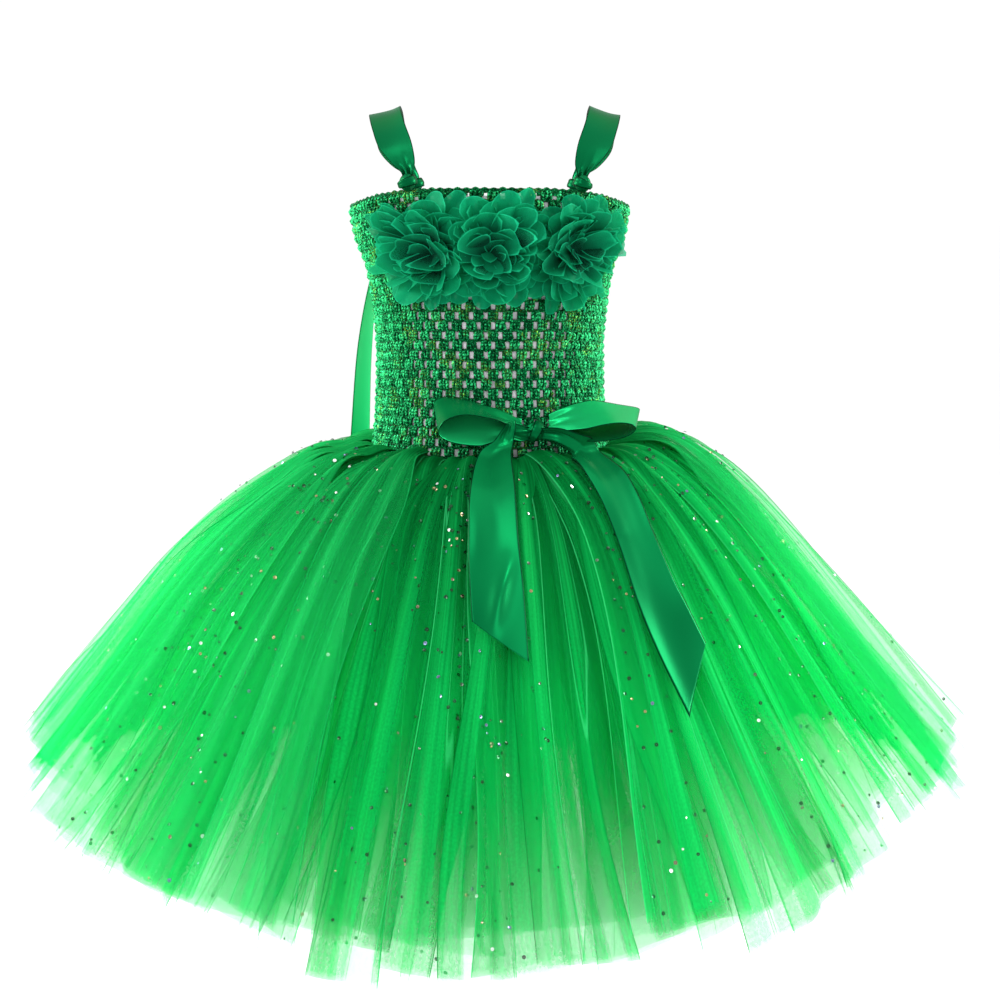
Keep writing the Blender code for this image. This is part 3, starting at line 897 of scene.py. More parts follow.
@dataclass
class CrochetBodice:
    """A stretch crochet tube: rows of clusters of posts, with gaps that close towards the sides.

    The gaps close where the sine of the plan angle falls through gap_turn. Twist is how far the strands
    of a row line lie from its middle, and twist_turns how many turns they make from point to point.
    """

    finishes: Finishes
    rows: int = 28
    columns: int = 51
    posts: int = 3
    post_places: tuple[float, ...] = (0.04, 0.28, 0.52, 0.76, 0.98)
    post_spread: float = 0.74
    post_lean: float = 0.7
    yarn_radius: float = 0.00118
    depth_in: float = 0.0016
    backing_depth: float = 0.0002
    bulge: float = 0.0013
    looseness: float = 0.0011
    gap_share: float = 0.29
    gap_closed: float = 0.03
    gap_turn: tuple[float, float] = (0.52, 0.80)
    row_yarn_radius: float = 0.0008
    row_steps: int = 5
    twist: float = 0.0006
    twist_turns: float = 0.37
    fibres: int = 16000
    fibre_length: float = 0.0022
    fibre_radii: tuple[float, ...] = (0.00022, 0.00016, 0.00005)
    edge_cord_radius: float = 0.0009
    edge_cord_rise: float = 0.0006
    edge_loop_rise: float = 0.0014
    edge_loop_share: float = 0.42

    @property
    def pitch(self) -> float:
        """Plan angle from one column to the next."""
        return 2 * math.pi / self.columns

    def middle(self, row: int, column: int) -> float:
        """Plan angle of a cluster's middle. Every second row is moved by half a column."""
        return (column + 0.5 * (row % 2)) * self.pitch

    def level(self, row: float, angle: float) -> float:
        """Height of a row line at a plan angle."""
        return FORM.foot + (FORM.top_z(angle) - FORM.foot) * row / self.rows

    def gap(self, angle: float) -> float:
        """Share of a column's pitch that is open: wide in front and behind, closed at the sides."""
        opened = ease(abs(math.sin(angle)), *self.gap_turn)
        return self.gap_closed + (self.gap_share - self.gap_closed) * opened

    def add_post(self, draft: Draft, row: int, column: int, post: int) -> None:
        """Add one upright strand of a cluster.

        Args:
            draft: The draft to add to.
            row: The cluster's row, from the foot.
            column: The cluster's place round the bodice.
            post: The strand's place in the cluster.
        """
        middle = self.middle(row, column)
        seed = row * 131 + column * 17 + post * 5
        half = self.pitch * (1 - self.gap(middle)) / 2
        aside = (post / (self.posts - 1) * 2 - 1) * half * self.post_spread
        lean = (scatter(seed) - 0.5) * self.post_lean * half
        swell = 0.8 + 0.4 * scatter(seed * 1.7)
        path, radii = [], []
        for place in self.post_places:
            arch = math.sin(math.pi * place)
            angle = middle + aside * (0.80 + 0.20 * arch) + lean * (place - 0.5)
            z = self.level(row + place, angle)
            loose = self.looseness * (scatter(seed * 3.1 + place) - 0.5)
            path.append(FORM.point(angle + loose * 8, z, self.bulge * arch * swell + loose - self.depth_in))
            fullness = 0.70 + 0.36 * arch + 0.3 * (scatter(seed + 9 * place) - 0.5)
            radii.append(self.yarn_radius * swell * fullness)
        out = FORM.point(middle, path[2].z)
        out.z = 0.0
        chance = scatter(97 * scatter(row * 1.37) + 61 * scatter(column * 2.11) + 3.3 * post)
        # The tone is random, and 1.5 cos² of the plan angle lifts it at the sides, where the yarn finish
        # paints the posts brighter: painted side light.
        tone = chance * 1.7 - 1.2 + 1.5 * abs(math.cos(middle)) ** 2
        draft.add_yarn(path, radii, 5, out, tone)

    def add_shade_backing(self, draft: Draft, row: int, column: int) -> None:
        """Add a flat sheet behind a cluster's strands, in the glitter yarn with a lowered tone: painted
        shade between the strands.

        Args:
            draft: The draft to add to.
            row: The cluster's row.
            column: Its place round the bodice.
        """
        middle = self.middle(row, column)
        half = self.pitch * (1 - self.gap(middle)) / 2

        def sample(across: float, along: float) -> Sample:
            """A sample of the sheet."""
            angle = middle + (2 * across - 1) * half
            point = FORM.point(angle, self.level(row + along, angle), -self.depth_in - self.backing_depth)
            # A tone of -0.8 paints the sheet darker than the posts: painted shade.
            return point, (0.2, 0.001 * along, 0.0), (1.0, along, -0.8)

        draft.add_sheet(2, 1, sample)

    def add_row_line(self, draft: Draft, row: int) -> None:
        """Add the twisted pair of strands that runs round between two rows.

        Args:
            draft: The draft to add to.
            row: The row over it.
        """
        for ply in (0, 1):
            path = []
            for step, angle in enumerate(all_round(self.columns * self.row_steps)):
                turn = 2 * math.pi * (step * self.twist_turns) + math.pi * ply
                z = self.level(row, angle) + self.twist * math.sin(turn)
                path.append(FORM.point(angle, z, self.twist * math.cos(turn) - self.depth_in))
            draft.add_yarn(path, [self.row_yarn_radius], 4, UP, scatter(row + ply) - 0.5, closed=True)

    def build_clusters(self) -> None:
        """Build the posts of all the clusters."""
        draft = Draft()
        for row in range(self.rows):
            for column in range(self.columns):
                for post in range(self.posts):
                    self.add_post(draft, row, column, post)
            for column in range(self.columns):
                self.add_shade_backing(draft, row, column)
        draft.build("bodice_clusters", self.finishes.yarn, Slot.CROCHET, ["bodice_crochet"])

    def build_row_lines(self) -> None:
        """Build the strands between the rows."""
        draft = Draft()
        for row in range(self.rows + 1):
            self.add_row_line(draft, row)
        draft.build("bodice_row_lines", self.finishes.row_yarn_painted_shade, Slot.CROCHET, ["bodice_crochet"])

    def build_frizz(self) -> None:
        """Build the short fibres that stand out of the yarn."""
        rng = random.Random(11)
        draft = Draft()
        for _ in range(self.fibres):
            row = rng.randrange(self.rows)
            middle = self.middle(row, rng.randrange(self.columns))
            angle = middle + rng.uniform(-0.5, 0.5) * self.pitch * (1 - self.gap(middle))
            z = self.level(row + rng.uniform(0.15, 0.85), angle)
            root = FORM.point(angle, z, -0.0012)
            out = (root - Vector((0, 0, z))).normalized()
            round_it = Vector((-out.y, out.x, 0.0))
            lean = rng.uniform(-1.3, 1.3) * round_it + Vector((0, 0, rng.uniform(-1.2, 1.2)))
            length = self.fibre_length * rng.uniform(0.5, 1.0)
            bend = root + length * 0.6 * (out + 0.5 * lean)
            tip = root + length * (0.8 * out + 1.1 * lean)
            tone = rng.uniform(-0.4, 1.6)
            draft.add_yarn([root, bend, tip], self.fibre_radii, 3, round_it + out * 0.3, tone)
        draft.build("bodice_frizz", self.finishes.yarn, Slot.CROCHET, ["bodice_crochet"])

    def build_top_edge(self) -> None:
        """Build the dark elastic cord in the top edge, with small loops of yarn over it."""
        draft = Draft()
        cord = [
            FORM.point(angle, FORM.top_z(angle) + self.edge_cord_rise, -self.depth_in)
            for angle in all_round(self.columns * 4)
        ]
        draft.add_yarn(cord, [self.edge_cord_radius], 6, UP, -1.0, closed=True)
        half = math.pi / self.columns * self.edge_loop_share
        for column, angle in enumerate(all_round(self.columns * 2)):
            loop = []
            for place in (0.0, 0.25, 0.5, 0.75, 1.0):
                here = angle + half * (2 * place - 1)
                size = 0.6 + 0.6 * scatter(column)
                rise = 0.0002 + self.edge_loop_rise * size * math.sin(math.pi * place)
                loop.append(FORM.point(here, FORM.top_z(here) + rise, 0.0004 - self.depth_in))
            draft.add_yarn(loop, [self.yarn_radius * 0.75], 4, UP, scatter(column) - 0.3)
        # The cord and loops wear the darker row yarn, whose colours are painted shade.
        draft.build("bodice_top_edge", self.finishes.row_yarn_painted_shade, Slot.CROCHET, ["bodice_crochet"])

    def build(self) -> None:
        """Build the whole tube."""
        self.build_clusters()
        self.build_row_lines()
        self.build_frizz()
        self.build_top_edge()


@dataclass
class Lining:
    """The thin pale tube inside the crochet, pressed a little into its gaps."""

    finishes: Finishes
    inset: float = 0.0029
    wave: float = 0.0003
    top_drop: float = 0.0040
    columns: int = 184
    rows: int = 56
    cut_width: float = 0.530
    cut_length: float = 0.200

    def build(self) -> None:
        """Build the tube."""
        draft = Draft()

        def sample(across: float, along: float) -> Sample:
            """A sample of the knit."""
            angle = 2 * math.pi * across
            z = FORM.foot + along * (FORM.top_z(angle) - self.top_drop - FORM.foot)
            wave = self.wave * math.sin(23 * angle + 9 * along)
            edge = min(along, 1 - along) * self.cut_length
            cloth = (across * self.cut_width, along * self.cut_length, 0.0)
            return FORM.point(angle, z, wave - self.inset), cloth, (edge, along, 0.0)

        draft.add_sheet(self.columns, self.rows, sample, wrap_across=True)
        piece = draft.build("lining_tube", self.finishes.lining, Slot.LINING, ["bodice_lining"])


# The skirt


@dataclass(frozen=True)
class BellOutline:
    """Bezier handles of one outline of a layer, each as (reach, height)."""

    puff: tuple[float, float]
    bend: tuple[float, float]
    hem: tuple[float, float]


@dataclass(frozen=True)
class BellLayer:
    """One layer of the skirt as the part's solids have it: a bell gathered into pleats.

    Gather is the pleats' height at the hem, and lap how far a strip stands over its neighbours there.
    The root shares are what is left of both at the waist. Reaches are how far down the outline the
    strips are cut, from the front to the side, and uneven is how much they differ in length.
    """

    name: str
    root_z: float
    root_out: float
    side: BellOutline
    front: BellOutline
    gather: float
    lap: float
    reaches: tuple[float, ...]
    uneven: float = 0.044
    wall: float = 0.0012
    root_share: float = 0.16
    lap_root_share: float = 0.24
    rise: float = 0.24
    drop_power: float = 2.6

    @cached_property
    def roots(self) -> tuple[tuple[float, float], tuple[float, float]]:
        """(reach, height) of the waist at the side and in front."""
        half_width, half_depth = FORM.half_sizes(self.root_z)
        depth = self.gather * self.root_share + self.lap * self.lap_root_share + self.wall / 2
        out = self.root_out + depth * self.rise
        return (half_width + out, self.root_z), (half_depth + out, self.root_z)

    def point(self, angle: float, place: float) -> Vector:
        """A point on the smooth bell at a plan angle, from 0 at the waist to 1 at the hem."""
        (side_reach, side_z), (front_reach, front_z) = (
            tuple(bezier(root[i], line.puff[i], line.bend[i], line.hem[i], place) for i in (0, 1))
            for line, root in zip((self.side, self.front), self.roots)
        )
        drop = (front_z - side_z) * abs(math.sin(angle)) ** self.drop_power
        return Vector((side_reach * math.cos(angle), front_reach * math.sin(angle), side_z + drop))

    def reach(self, angle: float) -> float:
        """How far down the outline the strips are cut at a plan angle."""
        return smooth_through(self.reaches, math.acos(min(1.0, abs(math.sin(angle)))) / (math.pi / 2))

    def normal(self, angle: float, place: float) -> Vector:
        """The direction out of the smooth bell."""
        step = 0.001
        round_it = self.point(angle + step, place) - self.point(angle - step, place)
        down = self.point(angle, place + step) - self.point(angle, place)
        return down.cross(round_it).normalized()

    def pleat(self, column: float, place: float) -> float:
        """How far the pleats lift the cloth at a column, whole numbers being tops and hollows in turn."""
        low = math.floor(column)
        share = column - low
        depth = scatter(low) * (1 - share) + scatter(low + 1) * share
        depth = self.gather * (self.root_share + (1 - self.root_share) * place) * (0.65 + 0.35 * depth)
        return depth * math.cos(math.pi * column)

    def lapped(self, lap: float, place: float) -> float:
        """How far a strip stands over, or under, its neighbours."""
        return self.lap * (self.lap_root_share + (1 - self.lap_root_share) * place) * lap


INNER = BellLayer(
    "inner", FORM.foot - 0.0040, -0.0045,
    BellOutline((0.148, -0.262), (0.196, -0.358), (0.326, -0.508)),
    BellOutline((0.104, -0.280), (0.168, -0.392), (0.247, -0.590)),
    0.0070, 0.0060, (0.990, 1.005, 1.025, 1.020, 1.000),
)
OUTER = BellLayer(
    "outer", -0.2630, SEAM_GAP,
    BellOutline((0.167, -0.238), (0.222, -0.338), (0.362, -0.512)),
    BellOutline((0.118, -0.258), (0.192, -0.372), (0.285, -0.600)),
    0.0070, 0.0060, (0.978, 0.992, 1.002, 1.014, 1.040),
)
TOP = BellLayer(
    "top", -0.2600, SEAM_GAP,
    BellOutline((0.178, -0.222), (0.236, -0.318), (0.390, -0.497)),
    BellOutline((0.132, -0.236), (0.208, -0.352), (0.300, -0.564)),
    0.0055, 0.0, (1.010, 1.015, 1.000, 0.982, 1.000),
)

# Creases that the strips of tulle take turns to wear, as uneven as the cloth's own.
STRIP_CREASES = (
    Crease(-0.28, 0.35, 0.050, 0.30, 0.0045, 0.10),
    Crease(0.12, 0.55, 0.040, 0.26, -0.0050, -0.16),
    Crease(0.33, 0.62, 0.055, 0.34, 0.0040, 0.12),
    Crease(-0.08, 0.80, 0.045, 0.20, 0.0050, -0.22),
    Crease(0.22, 0.90, 0.060, 0.16, -0.0048, 0.20),
    Crease(-0.36, 0.74, 0.040, 0.22, -0.0042, 0.18),
    Crease(0.02, 0.28, 0.035, 0.22, 0.0030, 0.06),
)


@dataclass
class TulleStrip:
    """One sheer strip, tied at the waist and spread to the hem, on its layer's pleats.

    Angles are plan angles. Lift is how far it lies off its layer at the hem, sway how far it wanders
    round the skirt, and tilt how much longer one edge is cut. Sunk is how far it lies inside its layer's
    left shoulder, and swing how far its front edge is turned in. Crown is its rise in the middle where it
    leaves the waist, waver how its width comes and goes, and flutter what its end is lifted or lowered.
    """

    layer: BellLayer
    seed: int
    root_angle: float
    hem_angle: float
    root_half: float
    hem_half: float
    length: float
    column_at: Callable[[float], float]
    lap_at: Callable[[float], float]
    lift: float
    sway: float
    tilt: float
    sunk: float = 0.0
    swing: float = 0.0
    crown: float = 0.0035
    waver: float = 0.16
    flutter: float = 0.006

    def place(self, across: float, along: float) -> float:
        """Place on the bell's outline, for a place on the strip."""
        return along * (self.length + self.tilt * (across - 0.5))

    def point(self, across: float, along: float) -> Vector:
        """A point of the strip.

        Args:
            across: From 0 at one edge to 1 at the other.
            along: From 0 at the waist to 1 at the hem.

        Returns:
            The point.
        """
        place = self.place(across, along)
        spread = ease(place, -0.05, 0.42)
        middle = self.root_angle + (self.hem_angle - self.root_angle) * spread
        middle += self.sway * place * math.sin(math.pi * (1.5 * place + 2 * scatter(self.seed)))
        half = self.root_half + (self.hem_half - self.root_half) * spread
        half *= 1 + self.waver * math.sin(math.pi * (2.2 * place + 2 * scatter(self.seed + 5)))
        angle = middle + (2 * across - 1) * half
        out = self.layer.pleat(self.column_at(angle), place)
        out += self.layer.lapped(self.lap_at(angle), place)
        out += self.lift * (0.25 + 0.75 * place)
        worn = [STRIP_CREASES[(self.seed + step) % len(STRIP_CREASES)] for step in (0, 2, 3)]
        out += creased(worn, across - 0.5, along) * (0.25 + 0.45 * place)
        near_waist = ease(place, 0.0, 0.07) * (1 - ease(place, 0.12, 0.35))
        out += self.crown * (1 - (2 * across - 1) ** 2) * near_waist
        out += self.flutter * (scatter(self.seed + 3) - 0.5) * ease(place, 0.80, 1.0)
        shoulder = ease(place, 0.0, 0.12) * (1 - ease(place, 0.34, 0.70))
        out -= self.sunk * max(0.0, -math.cos(angle)) ** 2 * shoulder
        front = across if math.cos(self.hem_angle) < 0 else 1 - across
        out -= self.swing * front * ease(place, 0.15, 0.75)
        return self.layer.point(angle, place) + out * self.layer.normal(angle, place)

    def width_at(self, along: float) -> float:
        """The strip's width in metres at a share of its length."""
        return (self.point(1.0, along) - self.point(0.0, along)).length

    def sampler(self, cut_width: float, cut_length: float) -> Sampler:
        """The sampler of the strip's surface.

        Args:
            cut_width: Width of the strip's cut.
            cut_length: Its length.

        Returns:
            The sampler.
        """
        chance = scatter(self.seed * 3.7)
        # The tone is a random strip tone plus 2 cos² of the hem angle, which lifts it at the sides. The
        # finish paints the side strips brighter from it: painted side light.
        tone = scatter(self.seed * 2.3) - 0.9 + 2.0 * math.cos(self.hem_angle) ** 2
        widths = [self.width_at(step / 10) for step in range(11)]

        def sample(across: float, along: float) -> Sample:
            """A sample of the strip."""
            edge = min(across, 1 - across) * smooth_through(widths, along)
            cloth = ((across - 0.5) * cut_width + self.seed * 1.37, along * cut_length, chance)
            return self.point(across, along), cloth, (edge, self.place(across, along), tone)

        return sample


@dataclass(frozen=True)
class Habit:
    """What the strips of one layer share: first seed, lift, how far they are sunk, and their swing."""

    seed: int
    lift: float
    sunk: float
    swing: float = 0.0


HABITS = {
    "inner": Habit(0, 0.0018, 0.0),
    "outer": Habit(200, 0.0018, 0.009),
    "top": Habit(500, 0.0040, 0.015, 0.030),
}


@dataclass
class TulleSkirt:
    """The three layers of strips, in bundles that fan out from the waist."""

    finishes: Finishes
    cut_width: float = 0.064
    cut_length: float = 0.36
    root_spread: float = 0.36
    veil_solid: int = 12
    top_degrees: tuple[float, ...] = (-10, 15, 43, 74, 105, 136, 165, 190, 213, 237)
    top_spread: float = math.radians(20)
    top_pitch: int = 6
    strips: list[TulleStrip] = field(default_factory=list)

    def bundle(
        self, layer: BellLayer, number: int, middle: float, column_of: Callable[[float], float],
        lap_of: Callable[[float], float], count: int, spread: float, root_half: float, hem_half: float,
    ) -> list[TulleStrip]:
        """The strips that stand for one solid.

        Args:
            layer: Their layer.
            number: The solid's number in the layer, from 0.
            middle: Plan angle of the solid's middle.
            column_of: The solid's column at a plan angle.
            lap_of: Its lap at a plan angle.
            count: How many strips.
            spread: Plan angle from the first strip's middle to the last one's, at the hem.
            root_half: Half a strip's plan angle at the waist.
            hem_half: Half of it at the hem.

        Returns:
            The strips.
        """
        habit = HABITS[layer.name]
        strips = []
        for index in range(count):
            seed = habit.seed + number * 7 + index
            share = index / (count - 1) - 0.5
            hem_angle = middle + share * spread + (scatter(seed * 1.9) - 0.5) * 0.03
            strips.append(
                TulleStrip(
                    layer=layer,
                    seed=seed,
                    root_angle=middle + share * spread * self.root_spread,
                    hem_angle=hem_angle,
                    root_half=root_half,
                    hem_half=hem_half * (0.85 + 0.3 * scatter(seed + 9)),
                    length=layer.reach(hem_angle) * (0.972 + layer.uneven * scatter(seed * 2.9)),
                    column_at=column_of,
                    lap_at=lap_of,
                    lift=habit.lift * (index - (count - 1) / 2),
                    sway=math.radians(3.6) * (scatter(seed * 5.3) * 2 - 1),
                    tilt=0.022 * (scatter(seed * 4.1) * 2 - 1),
                    sunk=habit.sunk,
                    swing=habit.swing * ease(abs(math.cos(hem_angle)), 0.84, 0.98),
                )
            )
        return strips

    def veil(self) -> TulleStrip:
        """The strip that has slipped over the right tail of the bow."""
        return TulleStrip(
            layer=OUTER,
            seed=711,
            root_angle=math.radians(-70),
            hem_angle=math.radians(-64),
            root_half=math.radians(5.0),
            hem_half=math.radians(5.5),
            length=0.955,
            column_at=lambda angle: 0.5,
            lap_at=lambda angle: 0.0,
            lift=0.0155,
            sway=math.radians(2.0),
            tilt=0.012,
        )

    def build_bundle(
        self, name: str, strips: list[TulleStrip], finish: bpy.types.Material, columns: int, rows: int,
        thick: tuple[bpy.types.Material, float] | None = None,
    ) -> None:
        """Build the piece that stands for one solid.

        Args:
            name: The solid's name.
            strips: Its strips.
            finish: Their material.
            columns: Faces over the width of a strip.
            rows: Faces over its length.
            thick: The finish near the waist and how far down it goes.
        """
        draft = Draft()
        for strip in strips:
            draft.add_sheet(columns, rows, strip.sampler(self.cut_width, self.cut_length))
        piece = draft.build(f"{name}_net", finish, Slot.TULLE, [name], thick=thick)
        self.strips.extend(strips)

    def build_ring(
        self, layer: BellLayer, solids: int, pitch: int, count: int, root_half: float, hem_half: float,
        finish: bpy.types.Material, thick: tuple[bpy.types.Material, float],
    ) -> None:
        """Build a full ring of bundles.

        Args:
            layer: The layer.
            solids: How many solids it has.
            pitch: Pleat columns from one solid to the next.
            count: Strips in a bundle.
            root_half: Half a strip's plan angle at the waist.
            hem_half: Half of it at the hem.
            finish: The material.
            thick: The finish near the waist and how far down it goes.
        """
        step = 2 * math.pi / (solids * pitch)
        spread = step * pitch * (1 - 0.5 / count)
        columns = pitch + 2
        for number in range(solids):
            first = number * pitch
            middle = (first + columns / 2) * step

            def column_of(angle: float) -> float:
                """The layer's column at a plan angle."""
                return angle / step

            def lap_of(angle: float, first: int = first) -> float:
                """The solid's lap at a plan angle."""
                return max(-1.3, min(1.3, 1 - 2 * (angle / step - first) / columns))

            strips = self.bundle(
                layer, number, middle, column_of, lap_of, count, spread, root_half, hem_half
            )
            if layer is OUTER and number == self.veil_solid:
                strips.append(self.veil())
            self.build_bundle(f"tulle_{layer.name}_{number + 1:02d}", strips, finish, 16, 38, thick)

    def build_top(self) -> None:
        """Build the sparse glitter strips that stand off the skirt."""
        for number, degrees in enumerate(self.top_degrees):
            middle = math.radians(degrees)

            def column_of(angle: float, number: int = number, middle: float = middle) -> float:
                """The solid's column at a plan angle."""
                return (number + (angle - middle) / self.top_spread + 0.5) * self.top_pitch

            strips = self.bundle(
                TOP, number, middle, column_of, lambda angle: 0.0, 3, self.top_spread * 0.70,
                math.radians(3.5), math.radians(7.0),
            )
            self.build_bundle(f"tulle_top_{number + 1:02d}", strips, self.finishes.tulle_top, 14, 40)

    def build(self) -> None:
        """Build all the layers."""
        self.build_ring(INNER, 10, 7, 4, math.radians(8), math.radians(10.5), self.finishes.tulle_inner,
                        (self.finishes.tulle_inner_thick, 0.67))
        self.build_ring(OUTER, 16, 6, 4, math.radians(5.8), math.radians(6.6), self.finishes.tulle_outer,
                        (self.finishes.tulle_outer_thick, 0.14))
        self.build_top()


@dataclass
class Sequins:
    """Foil discs glued to some of the strips, joined in one mesh."""

    finishes: Finishes
    skirt: TulleSkirt
    count: int = 2800
    smallest: float = 0.0007
    largest: float = 0.0015
    sides: int = 8
    off_cloth: float = 0.0012
    dish: float = 0.00015
    hole_share: float = 0.25
    tilt: float = 0.35
    glittered_share: float = 0.38

    def add_disc(self, draft: Draft, strip: TulleStrip, rng: random.Random) -> None:
        """Add one disc at a random place of a strip.

        Args:
            draft: The draft to add to.
            strip: The strip that carries it.
            rng: What its place, tilt, size and tone are drawn from.
        """
        across, along = rng.uniform(0.06, 0.94), rng.uniform(0.08, 1.0) ** 0.8
        step = 0.01
        middle = strip.point(across, along)
        over = (strip.point(across + step, along) - middle).normalized()
        down = (strip.point(across, along - step) - middle).normalized()
        out = over.cross(down).normalized()
        if out.dot(strip.layer.normal(math.atan2(middle.y, middle.x), along)) < 0:
            out = -out
        tilt = Vector([rng.uniform(-self.tilt, self.tilt) for _ in range(3)])
        face = (out + tilt).normalized()
        side = face.cross(down).normalized()
        up = side.cross(face)
        radius = rng.uniform(self.smallest, self.largest)
        centre = middle + self.off_cloth * out
        tone = rng.random()
        rim = [math.cos(turn) * side + math.sin(turn) * up for turn in all_round(self.sides)]
        rings = [
            [tuple(centre + radius * share * way + dish * face) for way in rim]
            for share, dish in ((self.hole_share, 0.0), (1.0, self.dish))
        ]
        points = np.array(rings)
        cloth = np.tile(np.array([0.001, 0.001, tone * 3]), (2, self.sides, 1))
        trim = np.tile(np.array([radius, 0.5, tone]), (2, self.sides, 1))
        draft.add_rows(points, cloth, trim, wrap_across=True)

    def build(self) -> None:
        """Build the discs on the outer strips."""
        rng = random.Random(5)
        draft = Draft()
        outer = [strip for strip in self.skirt.strips if strip.layer is not INNER]
        glittered = [strip for strip in outer if scatter(strip.seed * 1.3) > 1 - self.glittered_share]
        for _ in range(self.count):
            self.add_disc(draft, glittered[rng.randrange(len(glittered))], rng)
        draft.build("sequins", self.finishes.sequin, None)


# Ribbons


@dataclass
class Ribbon:
    """A ribbon along a smooth path, with creases and a slanted end."""

    middles: list[Vector]
    acrosses: list[Vector]
    widths: list[float]
    creases: tuple[Crease, ...] = ()
    cut: float = 0.0
    crown: float = 0.0

    def point(self, across: float, along: float) -> Vector:
        """A point of the ribbon.

        Args:
            across: From 0 at one edge to 1 at the other.
            along: From 0 at the start to 1 at the end.

        Returns:
            The point.
        """
        side = across - 0.5
        middle = smooth_through(self.middles, along)
        step = 0.01
        ahead = smooth_through(self.middles, min(along + step, 1.0))
        behind = smooth_through(self.middles, max(along - step, 0.0))
        over = smooth_through(self.acrosses, along).normalized()
        out = (ahead - behind).cross(over).normalized()
        down = (self.middles[-1] - self.middles[-2]).normalized()
        lift = creased(self.creases, side, along) + self.crown * (1 - 4 * side * side)
        width = smooth_through(self.widths, along)
        return middle + side * width * over + 2 * side * self.cut * along**6 * down + lift * out

    def length(self) -> float:
        """The length along the middle."""
        points = [smooth_through(self.middles, step / 60) for step in range(61)]
        return sum((b - a).length for a, b in zip(points, points[1:]))

    def sampler(self) -> Sampler:
        """The sampler of the ribbon's surface."""
        length = self.length()

        def sample(across: float, along: float) -> Sample:
            """A sample of the ribbon."""
            edge = min(across, 1 - across) * smooth_through(self.widths, along)
            cloth = (across * self.widths[-1], along * length, 0.0)
            return self.point(across, along), cloth, (edge, along, 0.0)

        return sample


@dataclass
class Knot:
    """A ribbon tied tight: a folded core and a band that wraps round it."""

    centre: Vector
    half_sizes: Vector
    seed: int
    tilt: float = 0.35
    upright: bool = False
    folds: int = 4
    twist: float = 2.5
    ridge: float = 0.16
    band_share: float = 0.0030 / 0.0068

    def core(self, across: float, along: float) -> Sample:
        """Sample the core's surface.

        Args:
            across: Share of the way round it.
            along: Share of the way up.

        Returns:
            The sample.
        """
        turn, rise = 2 * math.pi * across, math.pi * (along - 0.5) * 0.98
        fold = 0.5 - 0.5 * math.cos(self.folds * turn + self.twist * math.sin(rise))
        fine = math.cos(11 * turn + 5 * math.sin(rise) + self.seed)
        swell = 0.97 * (1 - self.ridge * math.cos(rise) * fold) + 0.035 * fine * math.cos(rise)
        ball = Vector((math.cos(rise) * math.cos(turn), math.cos(rise) * math.sin(turn), math.sin(rise)))
        point = Vector([swell * ball[i] * self.half_sizes[i] for i in range(3)]) + self.centre
        return point, (across * 0.04, along * 0.02, 3.0), (0.0013 + 0.002 * fold, along, 0.0)

    def band(self, across: float, along: float) -> Sample:
        """Sample the surface of the wrapped band.

        Args:
            across: Share of the way round its section.
            along: Share of the way round the knot.

        Returns:
            The sample.
        """
        turn, section = 2 * math.pi * along, 2 * math.pi * across
        wide = self.band_share * self.half_sizes.z
        pleat = 0.14 * math.cos(4 * section + turn) + 0.08 * math.cos(7 * section)
        height = wide * math.cos(section) * (1 + 0.25 * math.sin(turn + self.seed))
        deep = 0.0011 * math.sin(section) * (1 + pleat) + 0.0004
        x, y, z = (half + deep for half in self.half_sizes)
        ring = Vector((math.cos(turn) * x, math.sin(turn) * y, height))
        if self.upright:
            ring = Vector((height, math.sin(turn) * y, math.cos(turn) * z))
        ring = Matrix.Rotation(self.tilt, 3, "Y") @ ring
        edge = 0.003 * (1 - abs(math.cos(section)))
        return self.centre + ring, (across * 0.02, along * 0.05, 5.0), (edge, along, 0.0)

    def add_to(self, draft: Draft) -> None:
        """Add the knot to a draft."""
        draft.add_sheet(56, 24, self.core, wrap_across=True)
        draft.add_sheet(20, 48, self.band, wrap_across=True, wrap_along=True)


@dataclass(frozen=True)
class StrapStation:
    """A station of half a strap: depth, rise and outward are shares, the width is in metres."""

    depth: float
    rise: float
    outward: float
    width: float


@dataclass(frozen=True)
class TailStation:
    """A station of a hanging end, from its knot: the turn is in degrees."""

    swing: float
    drop: float
    behind: float
    turn: float
    width: float


KNOT_HALF_SIZES = Vector((0.0060, 0.0055, 0.0068))
STRAP_RIBBON = 0.025
RIBBON_WALL = 0.0005

# Gathers at both ends of a strap, where the ribbon is drawn into its knots.
STRAP_CREASES = (
    Crease(-0.28, 0.04, 0.075, 0.085, 0.0022, 0.5),
    Crease(-0.05, 0.03, 0.060, 0.075, -0.0024),
    Crease(0.20, 0.05, 0.070, 0.095, 0.0026, -0.6),
    Crease(0.38, 0.10, 0.080, 0.060, -0.0016, -0.3),
    Crease(-0.22, 0.96, 0.070, 0.080, 0.0022, 0.4),
    Crease(0.02, 0.97, 0.060, 0.075, -0.0022),
    Crease(0.26, 0.95, 0.070, 0.090, 0.0024, -0.4),
    Crease(0.15, 0.40, 0.300, 0.120, 0.0008, 0.8),
)

LEFT_BACK_TAIL = (
    TailStation(0.000, 0.0045, 0.0052, -30, 0.010),
    TailStation(0.012, 0.0300, 0.0060, -35, 0.020),
    TailStation(0.0345, 0.0800, 0.0080, -72, STRAP_RIBBON),
    TailStation(0.0435, 0.1350, 0.0120, -67, STRAP_RIBBON),
    TailStation(0.0505, 0.2200, 0.0320, -53, STRAP_RIBBON),
)
RIGHT_BACK_TAIL = (
    TailStation(0.000, 0.0045, 0.0052, -30, 0.010),
    TailStation(-0.004, 0.0300, 0.0075, -30, 0.020),
    TailStation(-0.010, 0.0800, 0.0110, -20, STRAP_RIBBON),
    TailStation(-0.015, 0.1350, 0.0140, -10, STRAP_RIBBON),
    TailStation(-0.018, 0.1850, 0.0290, -10, STRAP_RIBBON),
)

